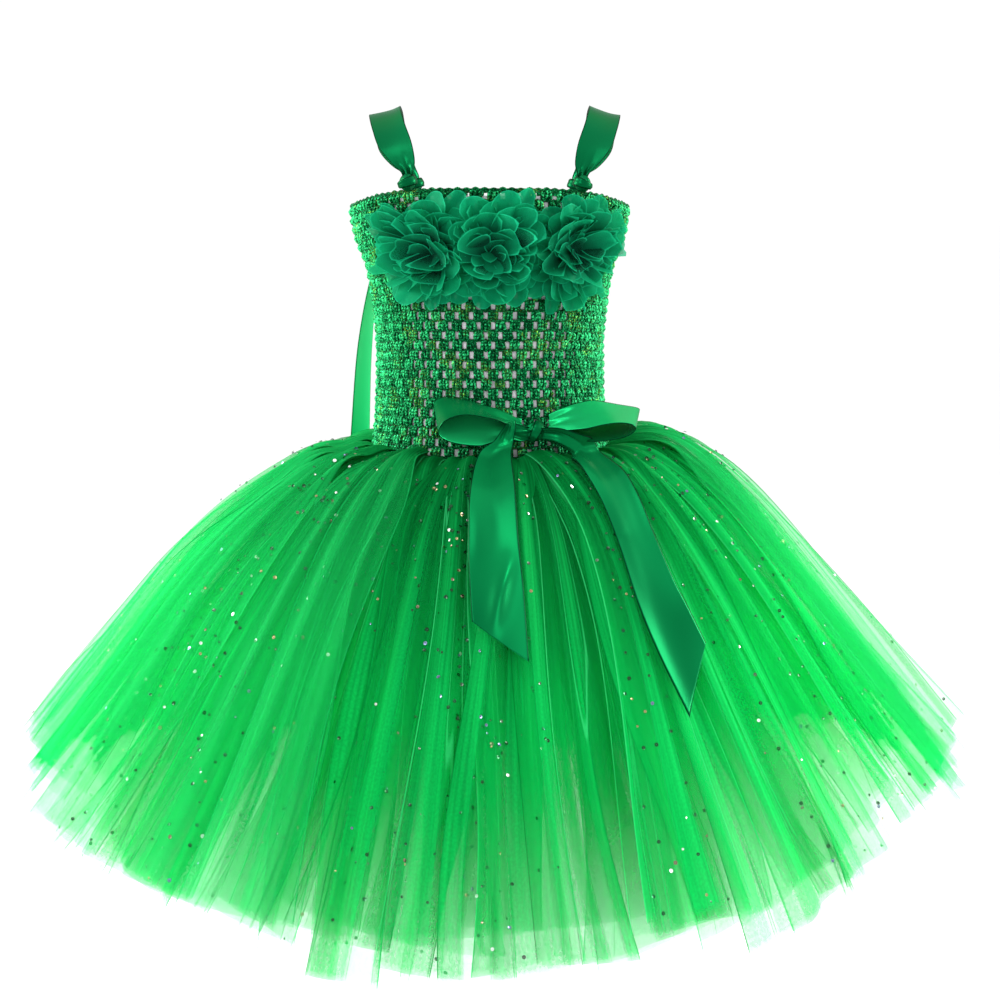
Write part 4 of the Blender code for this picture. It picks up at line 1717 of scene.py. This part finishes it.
BACK_TAIL_CREASES = (
    Crease(-0.20, 0.03, 0.09, 0.09, 0.0016),
    Crease(0.15, 0.05, 0.09, 0.11, -0.0018),
    Crease(0.10, 0.55, 0.40, 0.10, 0.0010, 0.6),
    Crease(-0.25, 0.80, 0.35, 0.12, -0.0010, 0.9),
)


@dataclass
class Strap:
    """A ribbon over the shoulder, with its knots and the end that hangs from the back one.

    The knots stand knot_x and the top of the arch top_x from the middle of the dress. The ribbon slopes
    out over the shoulder, and its back half stands wider.
    """

    finishes: Finishes
    name: str
    side: int
    knot_x: float
    top_x: float
    tail: tuple[TailStation, ...]
    tail_cut: float = 0.19
    strap_cut: float = 0.19
    top: float = -0.0005
    slope: float = 0.29
    wider: float = 0.34
    half: tuple[StrapStation, ...] = (
        StrapStation(1.00, -0.07, 0.00, 0.0070),
        StrapStation(1.00, 0.01, 0.01, 0.0090),
        StrapStation(0.97, 0.16, 0.16, 0.0180),
        StrapStation(0.87, 0.42, 0.46, STRAP_RIBBON),
        StrapStation(0.66, 0.71, 0.74, STRAP_RIBBON),
        StrapStation(0.36, 0.93, 0.93, STRAP_RIBBON),
        StrapStation(0.00, 1.00, 1.00, STRAP_RIBBON),
    )

    def knot_centre(self, to_back: int) -> Vector:
        """The middle of a knot. to_back is -1 in front and 1 behind."""
        half_width = FORM.half_sizes(FORM.top)[0]
        angle = to_back * math.acos(self.side * self.knot_x / half_width)
        return FORM.point(angle, FORM.top_z(angle), -0.0015) + Vector((0, 0, KNOT_HALF_SIZES.z + SEAM_GAP))

    def build_ribbon(self) -> None:
        """Build the ribbon over the shoulder."""
        middles, acrosses, widths = [], [], []
        stations = self.half + self.half[-2::-1]
        for index, station in enumerate(stations):
            behind = index >= len(self.half)
            knot = self.knot_centre(1 if behind else -1)
            start = knot.z + KNOT_HALF_SIZES.z + SEAM_GAP
            outward = station.outward
            if behind:
                outward += self.wider * math.sin(math.pi * min(1.0, max(station.rise, 0.0) ** 0.6))
            x = knot.x + (self.side * self.top_x - knot.x) * outward
            middles.append(Vector((x, knot.y * station.depth, start + (self.top - start) * station.rise)))
            acrosses.append(Vector((1.0, 0.0, -self.side * self.slope * station.outward)))
            widths.append(station.width)
        ribbon = Ribbon(middles, acrosses, widths, STRAP_CREASES, crown=0.0008)
        draft = Draft()
        draft.add_sheet(20, 110, ribbon.sampler())
        name = f"strap_{self.name}"
        piece = draft.build(f"{name}_ribbon", self.finishes.strap_satin, Slot.SATIN, [name], RIBBON_WALL)

    def build_knots(self) -> None:
        """Build both knots."""
        for end, to_back in (("front", -1), ("back", 1)):
            draft = Draft()
            seed = to_back * 3 + self.side
            Knot(self.knot_centre(to_back), KNOT_HALF_SIZES, seed, 0.35 * self.side).add_to(draft)
            name = f"strap_knot_{end}_{self.name}"
            draft.build(f"{name}_tied", self.finishes.strap_satin, Slot.SATIN, [name])

    def build_tail(self) -> None:
        """Build the end that hangs from the back knot."""
        knot = self.knot_centre(1)
        middles, acrosses, widths = [], [], []
        for station in self.tail:
            turn = math.radians(station.turn)
            middles.append(knot + Vector((self.side * station.swing, station.behind, -station.drop)))
            acrosses.append(Vector((math.cos(turn), self.side * math.sin(turn), 0.0)))
            widths.append(station.width)
        ribbon = Ribbon(middles, acrosses, widths, BACK_TAIL_CREASES, cut=0.006, crown=0.0006)
        draft = Draft()
        draft.add_sheet(14, 80, ribbon.sampler())
        name = f"back_tail_{self.name}"
        piece = draft.build(f"{name}_ribbon", self.finishes.back_tail_satin_painted_light, Slot.SATIN, [name], RIBBON_WALL)

    def build(self) -> None:
        """Build the strap."""
        self.build_ribbon()
        self.build_knots()
        self.build_tail()


@dataclass(frozen=True)
class LaidStation:
    """A station of a bow tail on the skirt: plan angle in degrees, place on the outline, and width."""

    angle: float
    along: float
    width: float


@dataclass(frozen=True)
class NeckStation:
    """A station of a bow tail near the knot: place from its middle in mm, the way across, and width."""

    place: tuple[float, float, float]
    across: tuple[float, float, float]
    width: float


@dataclass(frozen=True)
class BowLoop:
    """One loop: its directions from the knot, how far it reaches and how far it opens.

    Sag is the share of the opening on the half that comes back. The turns are how many degrees the
    ribbon is turned about the way out, at even steps along it.
    """

    name: str
    out: Vector
    across: Vector
    reach: float
    height: float
    behind: float
    sag: float
    turns: tuple[float, ...]


@dataclass(frozen=True)
class BowTail:
    """One tail of the bow.

    Length is that of its cut, and cut how much longer its right-hand edge is than its middle. Fold is its
    way from the knot to where it folds over, or empty where it doesn't, neck its way from there to the
    skirt, and laid where it lies on the skirt.
    """

    name: str
    length: float
    cut: float
    fold: tuple[NeckStation, ...]
    neck: tuple[NeckStation, ...]
    laid: tuple[LaidStation, ...]
    creases: tuple[Crease, ...]


SASH_RIBBON = 0.038

# Gathers of the short stretch between the knot and a fold.
FOLD_CREASES = (
    Crease(-0.25, 0.5, 0.10, 0.8, 0.0022, 0.2),
    Crease(0.12, 0.5, 0.09, 0.8, -0.0024, -0.2),
    Crease(0.34, 0.6, 0.08, 0.7, 0.0018),
)

LEFT_BOW_TAIL = BowTail(
    name="left",
    length=0.215,
    cut=-0.016,
    fold=(
        NeckStation((-3, -3, -1), (-0.05, 0.20, 0.97), 0.009),
        NeckStation((-11, -8, 0), (-0.05, 0.20, 0.97), 0.013),
        NeckStation((-19, -11, 2), (-0.20, 0.30, 0.93), 0.014),
    ),
    neck=(
        NeckStation((-18.5, -11.5, 9), (-0.95, 0.10, -0.30), 0.007),
        NeckStation((-20.5, -14, 3), (-1.00, 0.05, -0.12), 0.011),
        NeckStation((-24, -15.5, -5), (-1.00, 0.0, 0.0), 0.015),
    ),
    laid=(
        LaidStation(-88, 0.12, 0.025),
        LaidStation(-89, 0.28, 0.033),
        LaidStation(-89, 0.41, 0.036),
        LaidStation(-88.5, 0.50, SASH_RIBBON),
        LaidStation(-88, 0.60, SASH_RIBBON),
    ),
    creases=(
        Crease(-0.2, 0.14, 0.10, 0.12, -0.0016),
        Crease(0.22, 0.16, 0.12, 0.16, 0.0020, -0.3),
        Crease(0.05, 0.50, 0.30, 0.16, 0.0016, 0.5),
        Crease(-0.05, 0.88, 0.17, 0.09, 0.0046, 2.2),
        Crease(0.30, 0.72, 0.25, 0.14, -0.0022, 0.4),
        Crease(-0.46, 0.45, 0.40, 0.08, -0.0020),
    ),
)

RIGHT_BOW_TAIL = BowTail(
    name="right",
    length=0.250,
    cut=0.022,
    fold=(),
    neck=(
        NeckStation((4, -5, -1), (0.05, 0.30, -0.95), 0.010),
        NeckStation((17, -10, -2), (-0.10, 0.40, -0.90), 0.014),
        NeckStation((31, -13, -8), (-0.40, 0.40, -0.80), 0.019),
    ),
    laid=(
        LaidStation(-56.5, 0.17, 0.026),
        LaidStation(-56, 0.27, 0.031),
        LaidStation(-56.5, 0.36, 0.031),
        LaidStation(-57.5, 0.46, 0.031),
        LaidStation(-58, 0.56, 0.035),
        LaidStation(-57.5, 0.63, SASH_RIBBON),
        LaidStation(-56.5, 0.71, SASH_RIBBON),
    ),
    creases=(
        Crease(-0.1, 0.10, 0.10, 0.15, 0.0026, 0.3),
        Crease(0.25, 0.16, 0.12, 0.16, -0.0028, -0.2),
        Crease(-0.30, 0.52, 0.20, 0.20, 0.0014, 0.3),
        Crease(0.20, 0.90, 0.30, 0.16, 0.0014, 0.8),
        Crease(0.30, 0.45, 0.16, 0.22, -0.0012, -0.3),
    ),
)


@dataclass
class WaistBow:
    """The satin bow on the waist: a knot, two loops and two tails on the skirt."""

    finishes: Finishes
    x: float = 0.032
    z: float = -0.2420
    half_sizes: Vector = field(default_factory=lambda: Vector((0.0100, 0.0075, 0.0100)))
    tied_sizes: Vector = field(default_factory=lambda: Vector((0.0088, 0.0072, 0.0074)))
    neck: float = 0.012
    loop_start: float = math.radians(24)
    loop_cut: float = 0.15
    gathers: float = 0.0026
    ripples: float = 0.0018
    clearance: float = 0.0050
    laid_wall: float = 0.0010
    tail_crown: float = 0.0012
    loops: tuple[BowLoop, ...] = (
        BowLoop(
            "left", Vector((-0.98, -0.18, 0.10)), Vector((-0.08, -0.96, -0.16)), 0.068, 0.034, 0.10, 0.45,
            (-10, -6, -6, -16, -34, -42, -36),
        ),
        BowLoop(
            "right", Vector((0.97, -0.18, 0.11)), Vector((0.05, -0.90, -0.42)), 0.070, 0.020, 0.10, 0.80,
            (0, -4, -6, -12, -12, 6, 20),
        ),
    )
    tails: tuple[BowTail, ...] = (LEFT_BOW_TAIL, RIGHT_BOW_TAIL)

    @property
    def centre(self) -> Vector:
        """The middle of the knot, seated on the front of the bodice."""
        angle = -math.acos(self.x / FORM.half_sizes(self.z)[0])
        return FORM.point(angle, self.z, self.half_sizes.y + SEAM_GAP)

    def build_knot(self) -> None:
        """Build the knot."""
        draft = Draft()
        Knot(self.centre, self.tied_sizes, 2, 0.45, upright=True, folds=5, ridge=0.30).add_to(draft)
        draft.build("bow_knot_tied", self.finishes.satin, Slot.SATIN, ["bow_knot"])

    def build_loop(self, loop: BowLoop) -> None:
        """Build a loop: a ribbon that leaves the knot, turns at its far end and comes back.

        Args:
            loop: The loop's directions and sizes.
        """
        out = loop.out.normalized()
        over = (loop.across - loop.across.dot(out) * out).normalized()
        third = out.cross(over)
        first_far = loop.reach * (1 - math.cos(self.loop_start)) / 2
        start = self.centre + out * (self.half_sizes.x + SEAM_GAP - first_far)

        def sample(across: float, along: float) -> Sample:
            """A sample of the loop."""
            side = across - 0.5
            turn = self.loop_start + along * (2 * math.pi - 2 * self.loop_start)
            far = loop.reach * (1 - math.cos(turn)) / 2
            half_height = loop.height / 2 * (1.0 if along < 0.5 else loop.sag)
            open_by = half_height * math.sin(turn) * math.sin(turn / 2)
            spread = min(1.0, far / loop.reach * 2)
            width = self.neck + (SASH_RIBBON - self.neck) * spread
            back_edge = -self.neck / 2 - (width - self.neck) * loop.behind
            wave = 2 * math.pi * side
            gathers = self.gathers * (1 - spread) * math.cos(2.5 * wave + 1.2)
            gathers += self.ripples * spread * math.sin(math.pi * spread) * math.cos(1.6 * wave + 4 * along)
            lift = math.cos(turn / 2) * gathers + gathers * 0.3
            turned = math.radians(smooth_through(loop.turns, along))
            wide = over * math.cos(turned) + third * math.sin(turned)
            point = start + far * out + (open_by + lift) * third + (back_edge + side * width) * wide
            edge = min(across, 1 - across) * width
            cloth = (across * SASH_RIBBON, along * self.loop_cut, 1.0)
            # The trim's third number marks the half that comes back, which the satin paints lighter:
            # painted light in the loop's hollow.
            return point, cloth, (edge, along, ease(along, 0.46, 0.58))

        draft = Draft()
        draft.add_sheet(22, 96, sample)
        name = f"bow_loop_{loop.name}"
        piece = draft.build(f"{name}_ribbon", self.finishes.satin, Slot.SATIN, [name], RIBBON_WALL)

    def stretch(self, stations: Sequence[NeckStation]) -> tuple[list[Vector], list[Vector], list[float]]:
        """Middles, ways across and widths of a free stretch of ribbon."""
        return (
            [self.centre + Vector(station.place) / 1000 for station in stations],
            [Vector(station.across).normalized() for station in stations],
            [station.width for station in stations],
        )

    def laid(self, station: LaidStation) -> tuple[Vector, Vector]:
        """A point just clear of the outer layer's pleats, and the direction out of the skirt."""
        angle, place = math.radians(station.angle), station.along
        lift = OUTER.gather * (OUTER.root_share + (1 - OUTER.root_share) * place)
        lift += OUTER.lapped(1.0, place) + self.clearance + (OUTER.wall + self.laid_wall) / 2
        normal = OUTER.normal(angle, place)
        return OUTER.point(angle, place) + lift * normal, normal

    def build_tail(self, tail: BowTail) -> None:
        """Build a tail that leaves the knot and lies down the skirt.

        Args:
            tail: The tail's stations and creases.
        """
        draft = Draft()
        if tail.fold:
            draft.add_sheet(14, 16, Ribbon(*self.stretch(tail.fold), FOLD_CREASES).sampler())
        middles, acrosses, widths = self.stretch(tail.neck)
        laid = [self.laid(station) for station in tail.laid]
        for index, (middle, normal) in enumerate(laid):
            ahead = laid[min(index + 1, len(laid) - 1)][0]
            behind = laid[index - 1][0] if index else middles[-1]
            middles.append(middle)
            acrosses.append((ahead - behind).cross(normal).normalized())
            widths.append(tail.laid[index].width)
        ribbon = Ribbon(middles, acrosses, widths, tail.creases, tail.cut, self.tail_crown)
        draft.add_sheet(22, 110, ribbon.sampler())
        name = f"bow_tail_{tail.name}"
        piece = draft.build(f"{name}_ribbon", self.finishes.satin, Slot.SATIN, [name], RIBBON_WALL)

    def build(self) -> None:
        """Build the bow."""
        self.build_knot()
        for loop in self.loops:
            self.build_loop(loop)
        for tail in self.tails:
            self.build_tail(tail)


# The flowers


@dataclass(frozen=True)
class PetalRound:
    """A round of petals: how many, share of the flower's reach, and height of root and rim.

    Half_angle is half the width of a petal, cup how far its long edges rise, curl how far its rim waves,
    and turn the share of a petal by which the round is turned.
    """

    petals: int
    reach: float
    root: float
    rim: float
    half_angle: float
    cup: float
    curl: float
    turn: float


@dataclass
class ChiffonFlower:
    """A rosette of single sheer petals, in rounds that stand up more and more towards the middle.

    Along is the distance of its middle from the dress's, round the bodice, and z its height. Left, right,
    up and down are how far it reaches. Front_radius is that of the bodice's front where it sits.
    """

    finishes: Finishes
    name: str
    along: float
    z: float
    left: float
    right: float
    up: float
    down: float
    seed: int
    front_radius: float = 0.092
    squareness: float = 2.6
    petal_cut: float = 0.024
    petal_share: float = 0.72
    widest_half: float = 0.0092
    roll: float = 0.0125
    rim_drop: float = 0.0026
    least_lift: float = 0.0012
    rounds: tuple[PetalRound, ...] = (
        PetalRound(13, 1.00, 0.0016, 0.0050, 0.40, 0.0010, 0.0020, 0.00),
        PetalRound(13, 0.91, 0.0026, 0.0095, 0.40, 0.0020, 0.0030, 0.31),
        PetalRound(12, 0.80, 0.0034, 0.0135, 0.40, 0.0026, 0.0038, 0.12),
        PetalRound(12, 0.68, 0.0044, 0.0165, 0.42, 0.0032, 0.0042, 0.45),
        PetalRound(11, 0.56, 0.0052, 0.0190, 0.46, 0.0034, 0.0044, 0.20),
        PetalRound(10, 0.43, 0.0060, 0.0205, 0.54, 0.0034, 0.0040, 0.60),
        PetalRound(7, 0.29, 0.0066, 0.0215, 0.80, 0.0030, 0.0032, 0.35),
    )

    def reach(self, turn: float) -> float:
        """How far the flower reaches in a direction."""
        side = self.right if math.cos(turn) > 0 else self.left
        height = self.up if math.sin(turn) > 0 else self.down
        across = abs(math.cos(turn) / side) ** self.squareness
        upright = abs(math.sin(turn) / height) ** self.squareness
        return (across + upright) ** (-1 / self.squareness)

    def add_petal(self, draft: Draft, ring: PetalRound, number: int, index: int) -> None:
        """Add one petal.

        Args:
            draft: The draft to add to.
            ring: Its round.
            number: Its place in the round.
            index: The round's place in the flower.
        """
        seed = self.seed * 97 + index * 31 + number * 3
        turn = 2 * math.pi * (number + ring.turn + 1.6 * (scatter(seed) - 0.5)) / ring.petals
        length = self.reach(turn) * ring.reach * (0.80 + 0.26 * scatter(seed * 1.3))
        half = min(length * math.tan(ring.half_angle), self.widest_half)
        half *= 0.78 + 0.45 * scatter(seed * 2.1)
        rim = ring.rim * (0.66 + 0.6 * scatter(seed * 3.1))
        phase = 2 * math.pi * scatter(seed * 1.7)
        # A random tone, lowered by 0.34 a round towards the middle: painted shade deep in the flower.
        tone = scatter(seed * 4.3) * 1.8 + 0.1 - 0.34 * index
        roll = self.roll * (scatter(seed * 5.9) - 0.5)
        drop = self.rim_drop * (1 if scatter(seed * 8.7) < 0.6 else -0.5)
        offset = Vector((scatter(seed * 6.1) - 0.5, scatter(seed * 7.3) - 0.5)) * (0.0022 * index)

        def sample(across: float, along: float) -> Sample:
            """A sample of the petal."""
            side = 2 * across - 1
            fill = 0.22 + 0.78 * math.sin(math.pi / 2 * min(1.0, 1.25 * along)) ** 0.9
            reach = along * length * (1 - 0.20 * abs(side) ** 2.6 * along)
            aside = side * half * fill
            lift = ring.root + (rim - ring.root) * along**1.15
            lift += ring.cup * side * side * along + roll * side * along
            lift += ring.curl * math.sin(2.4 * side + phase) * along**2
            lift += 0.0012 * math.sin(6 * side + 2 * phase) * along**2
            lift -= drop * ease(along, 0.75, 1.0)
            right = reach * math.cos(turn) - aside * math.sin(turn) + offset.x
            up = reach * math.sin(turn) + aside * math.cos(turn) + offset.y
            angle = -math.pi / 2 + (self.along + right) / self.front_radius
            point = FORM.point(angle, self.z + up, max(lift, self.least_lift))
            edge = min((1 - abs(side)) * half * fill, (1 - along) * length)
            return point, (aside, reach, float(seed)), (edge, along, tone)

        draft.add_sheet(8, 8, sample)

    def build(self) -> None:
        draft = Draft()
        for index, ring in enumerate(self.rounds):
            for number in range(ring.petals):
                self.add_petal(draft, ring, number, index)
        solids = [f"flower_{self.name}_{part}" for part in ("outer", "middle", "inner")]
        piece = draft.build(f"flower_{self.name}_petals", self.finishes.chiffon, Slot.CHIFFON, solids)
        count = sum(ring.petals for ring in self.rounds)


# Name, along, z, reach to the left, right, up and down, and seed of each flower.
FLOWERS = (
    ("left", -0.037, -0.109, 0.056, 0.034, 0.052, 0.043, 1),
    ("right", 0.056, -0.106, 0.043, 0.050, 0.043, 0.052, 3),
    ("middle", 0.003, -0.108, 0.034, 0.040, 0.053, 0.044, 2),
)


# The studio


# Name, place, side in metres and power in watts.
LIGHTS = (
    ("left_side", (-1.7, 0.0, 0.3), 1.0, 48.0),
    ("right_side", (1.7, 0.0, 0.4), 1.0, 48.0),
    ("above", (-0.3, -0.9, 1.5), 0.7, 6.0),
    ("key", (-0.8, -1.5, 0.8), 0.25, 6.0),
)


@dataclass
class Studio:
    """Pale floor, soft lights and the camera."""

    floor_z: float = -0.98
    floor_half: float = 9.0
    floor_steps: int = 24
    floor_rise: float = 0.8
    world_light: float = 1.03
    aim: tuple[float, float, float] = (0.0, 0.0, -0.32)
    eye: tuple[float, float, float] = (0.008, -1.4, -0.074)
    pitch: float = math.radians(90 - 9.42)
    lens: float = 63.65

    def rise(self, x: float, y: float) -> float:
        """How far the floor curves up, at shares of its half width."""
        return self.floor_rise * max(abs(x), abs(y)) ** 8

    def build_floor(self) -> None:
        """Build the floor, curved up gently at its rim."""
        mesh = bpy.data.meshes.new("floor")
        steps = [-1.0 + 2.0 * step / self.floor_steps for step in range(self.floor_steps + 1)]
        points = [
            (x * self.floor_half, y * self.floor_half, self.floor_z + self.rise(x, y))
            for y in steps for x in steps
        ]
        row = self.floor_steps + 1
        starts = [y * row + x for y in range(self.floor_steps) for x in range(self.floor_steps)]
        faces = [(start, start + 1, start + row + 1, start + row) for start in starts]
        mesh.from_pydata(points, [], faces)
        mesh.shade_smooth()
        paper = FloorFinish("studio_paper", (0.975, 0.975, 0.975), (0.960, 0.960, 0.960))
        mesh.materials.append(paper.material())
        floor = bpy.data.objects.new("floor", mesh)
        bpy.context.scene.collection.objects.link(floor)

    def add_light(self, name: str, place: Vector, aim: Vector, size: float, power: float) -> None:
        """Add a soft square light.

        Args:
            name: Its name.
            place: Where it stands.
            aim: What it faces.
            size: Its side in metres.
            power: Its power in watts.
        """
        lamp = bpy.data.lights.new(name, "AREA")
        lamp.size = size
        lamp.energy = power
        light = bpy.data.objects.new(name, lamp)
        light.location = place
        light.rotation_euler = (aim - place).to_track_quat("-Z", "Y").to_euler()
        bpy.context.scene.collection.objects.link(light)

    def build(self) -> None:
        """Build the studio."""
        scene = bpy.context.scene
        scene.view_settings.view_transform = "Standard"
        scene.view_settings.look = "None"
        self.build_floor()
        world = bpy.data.worlds.new("studio")
        world.use_nodes = True
        backdrop = world.node_tree.nodes["Background"]
        backdrop.inputs[0].default_value = (1.0, 1.0, 1.0, 1.0)
        backdrop.inputs[1].default_value = self.world_light
        scene.world = world
        for name, place, size, power in LIGHTS:
            self.add_light(name, Vector(place), Vector(self.aim), size, power)
        camera = bpy.data.cameras.new("camera")
        camera.lens = self.lens
        eye = bpy.data.objects.new("camera", camera)
        eye.location = self.eye
        eye.rotation_euler = (self.pitch, 0.0, 0.0)
        scene.collection.objects.link(eye)
        scene.camera = eye


def main() -> None:
    """Build the looks of the dress, sub-assembly by sub-assembly."""
    logging.basicConfig(level=logging.INFO, format="%(name)s: %(message)s")
    finishes = Finishes.made()
    Studio().build()
    CrochetBodice(finishes).build()
    Lining(finishes).build()
    skirt = TulleSkirt(finishes)
    skirt.build()
    Sequins(finishes, skirt).build()
    Strap(finishes, "left", -1, 0.062, 0.081, LEFT_BACK_TAIL, tail_cut=0.225).build()
    Strap(finishes, "right", 1, 0.071, 0.089, RIGHT_BACK_TAIL).build()
    WaistBow(finishes).build()
    for name, along, z, left, right, up, down, seed in FLOWERS:
        ChiffonFlower(finishes, name, along, z, left, right, up, down, seed).build()


if __name__ == "__main__":
    main()
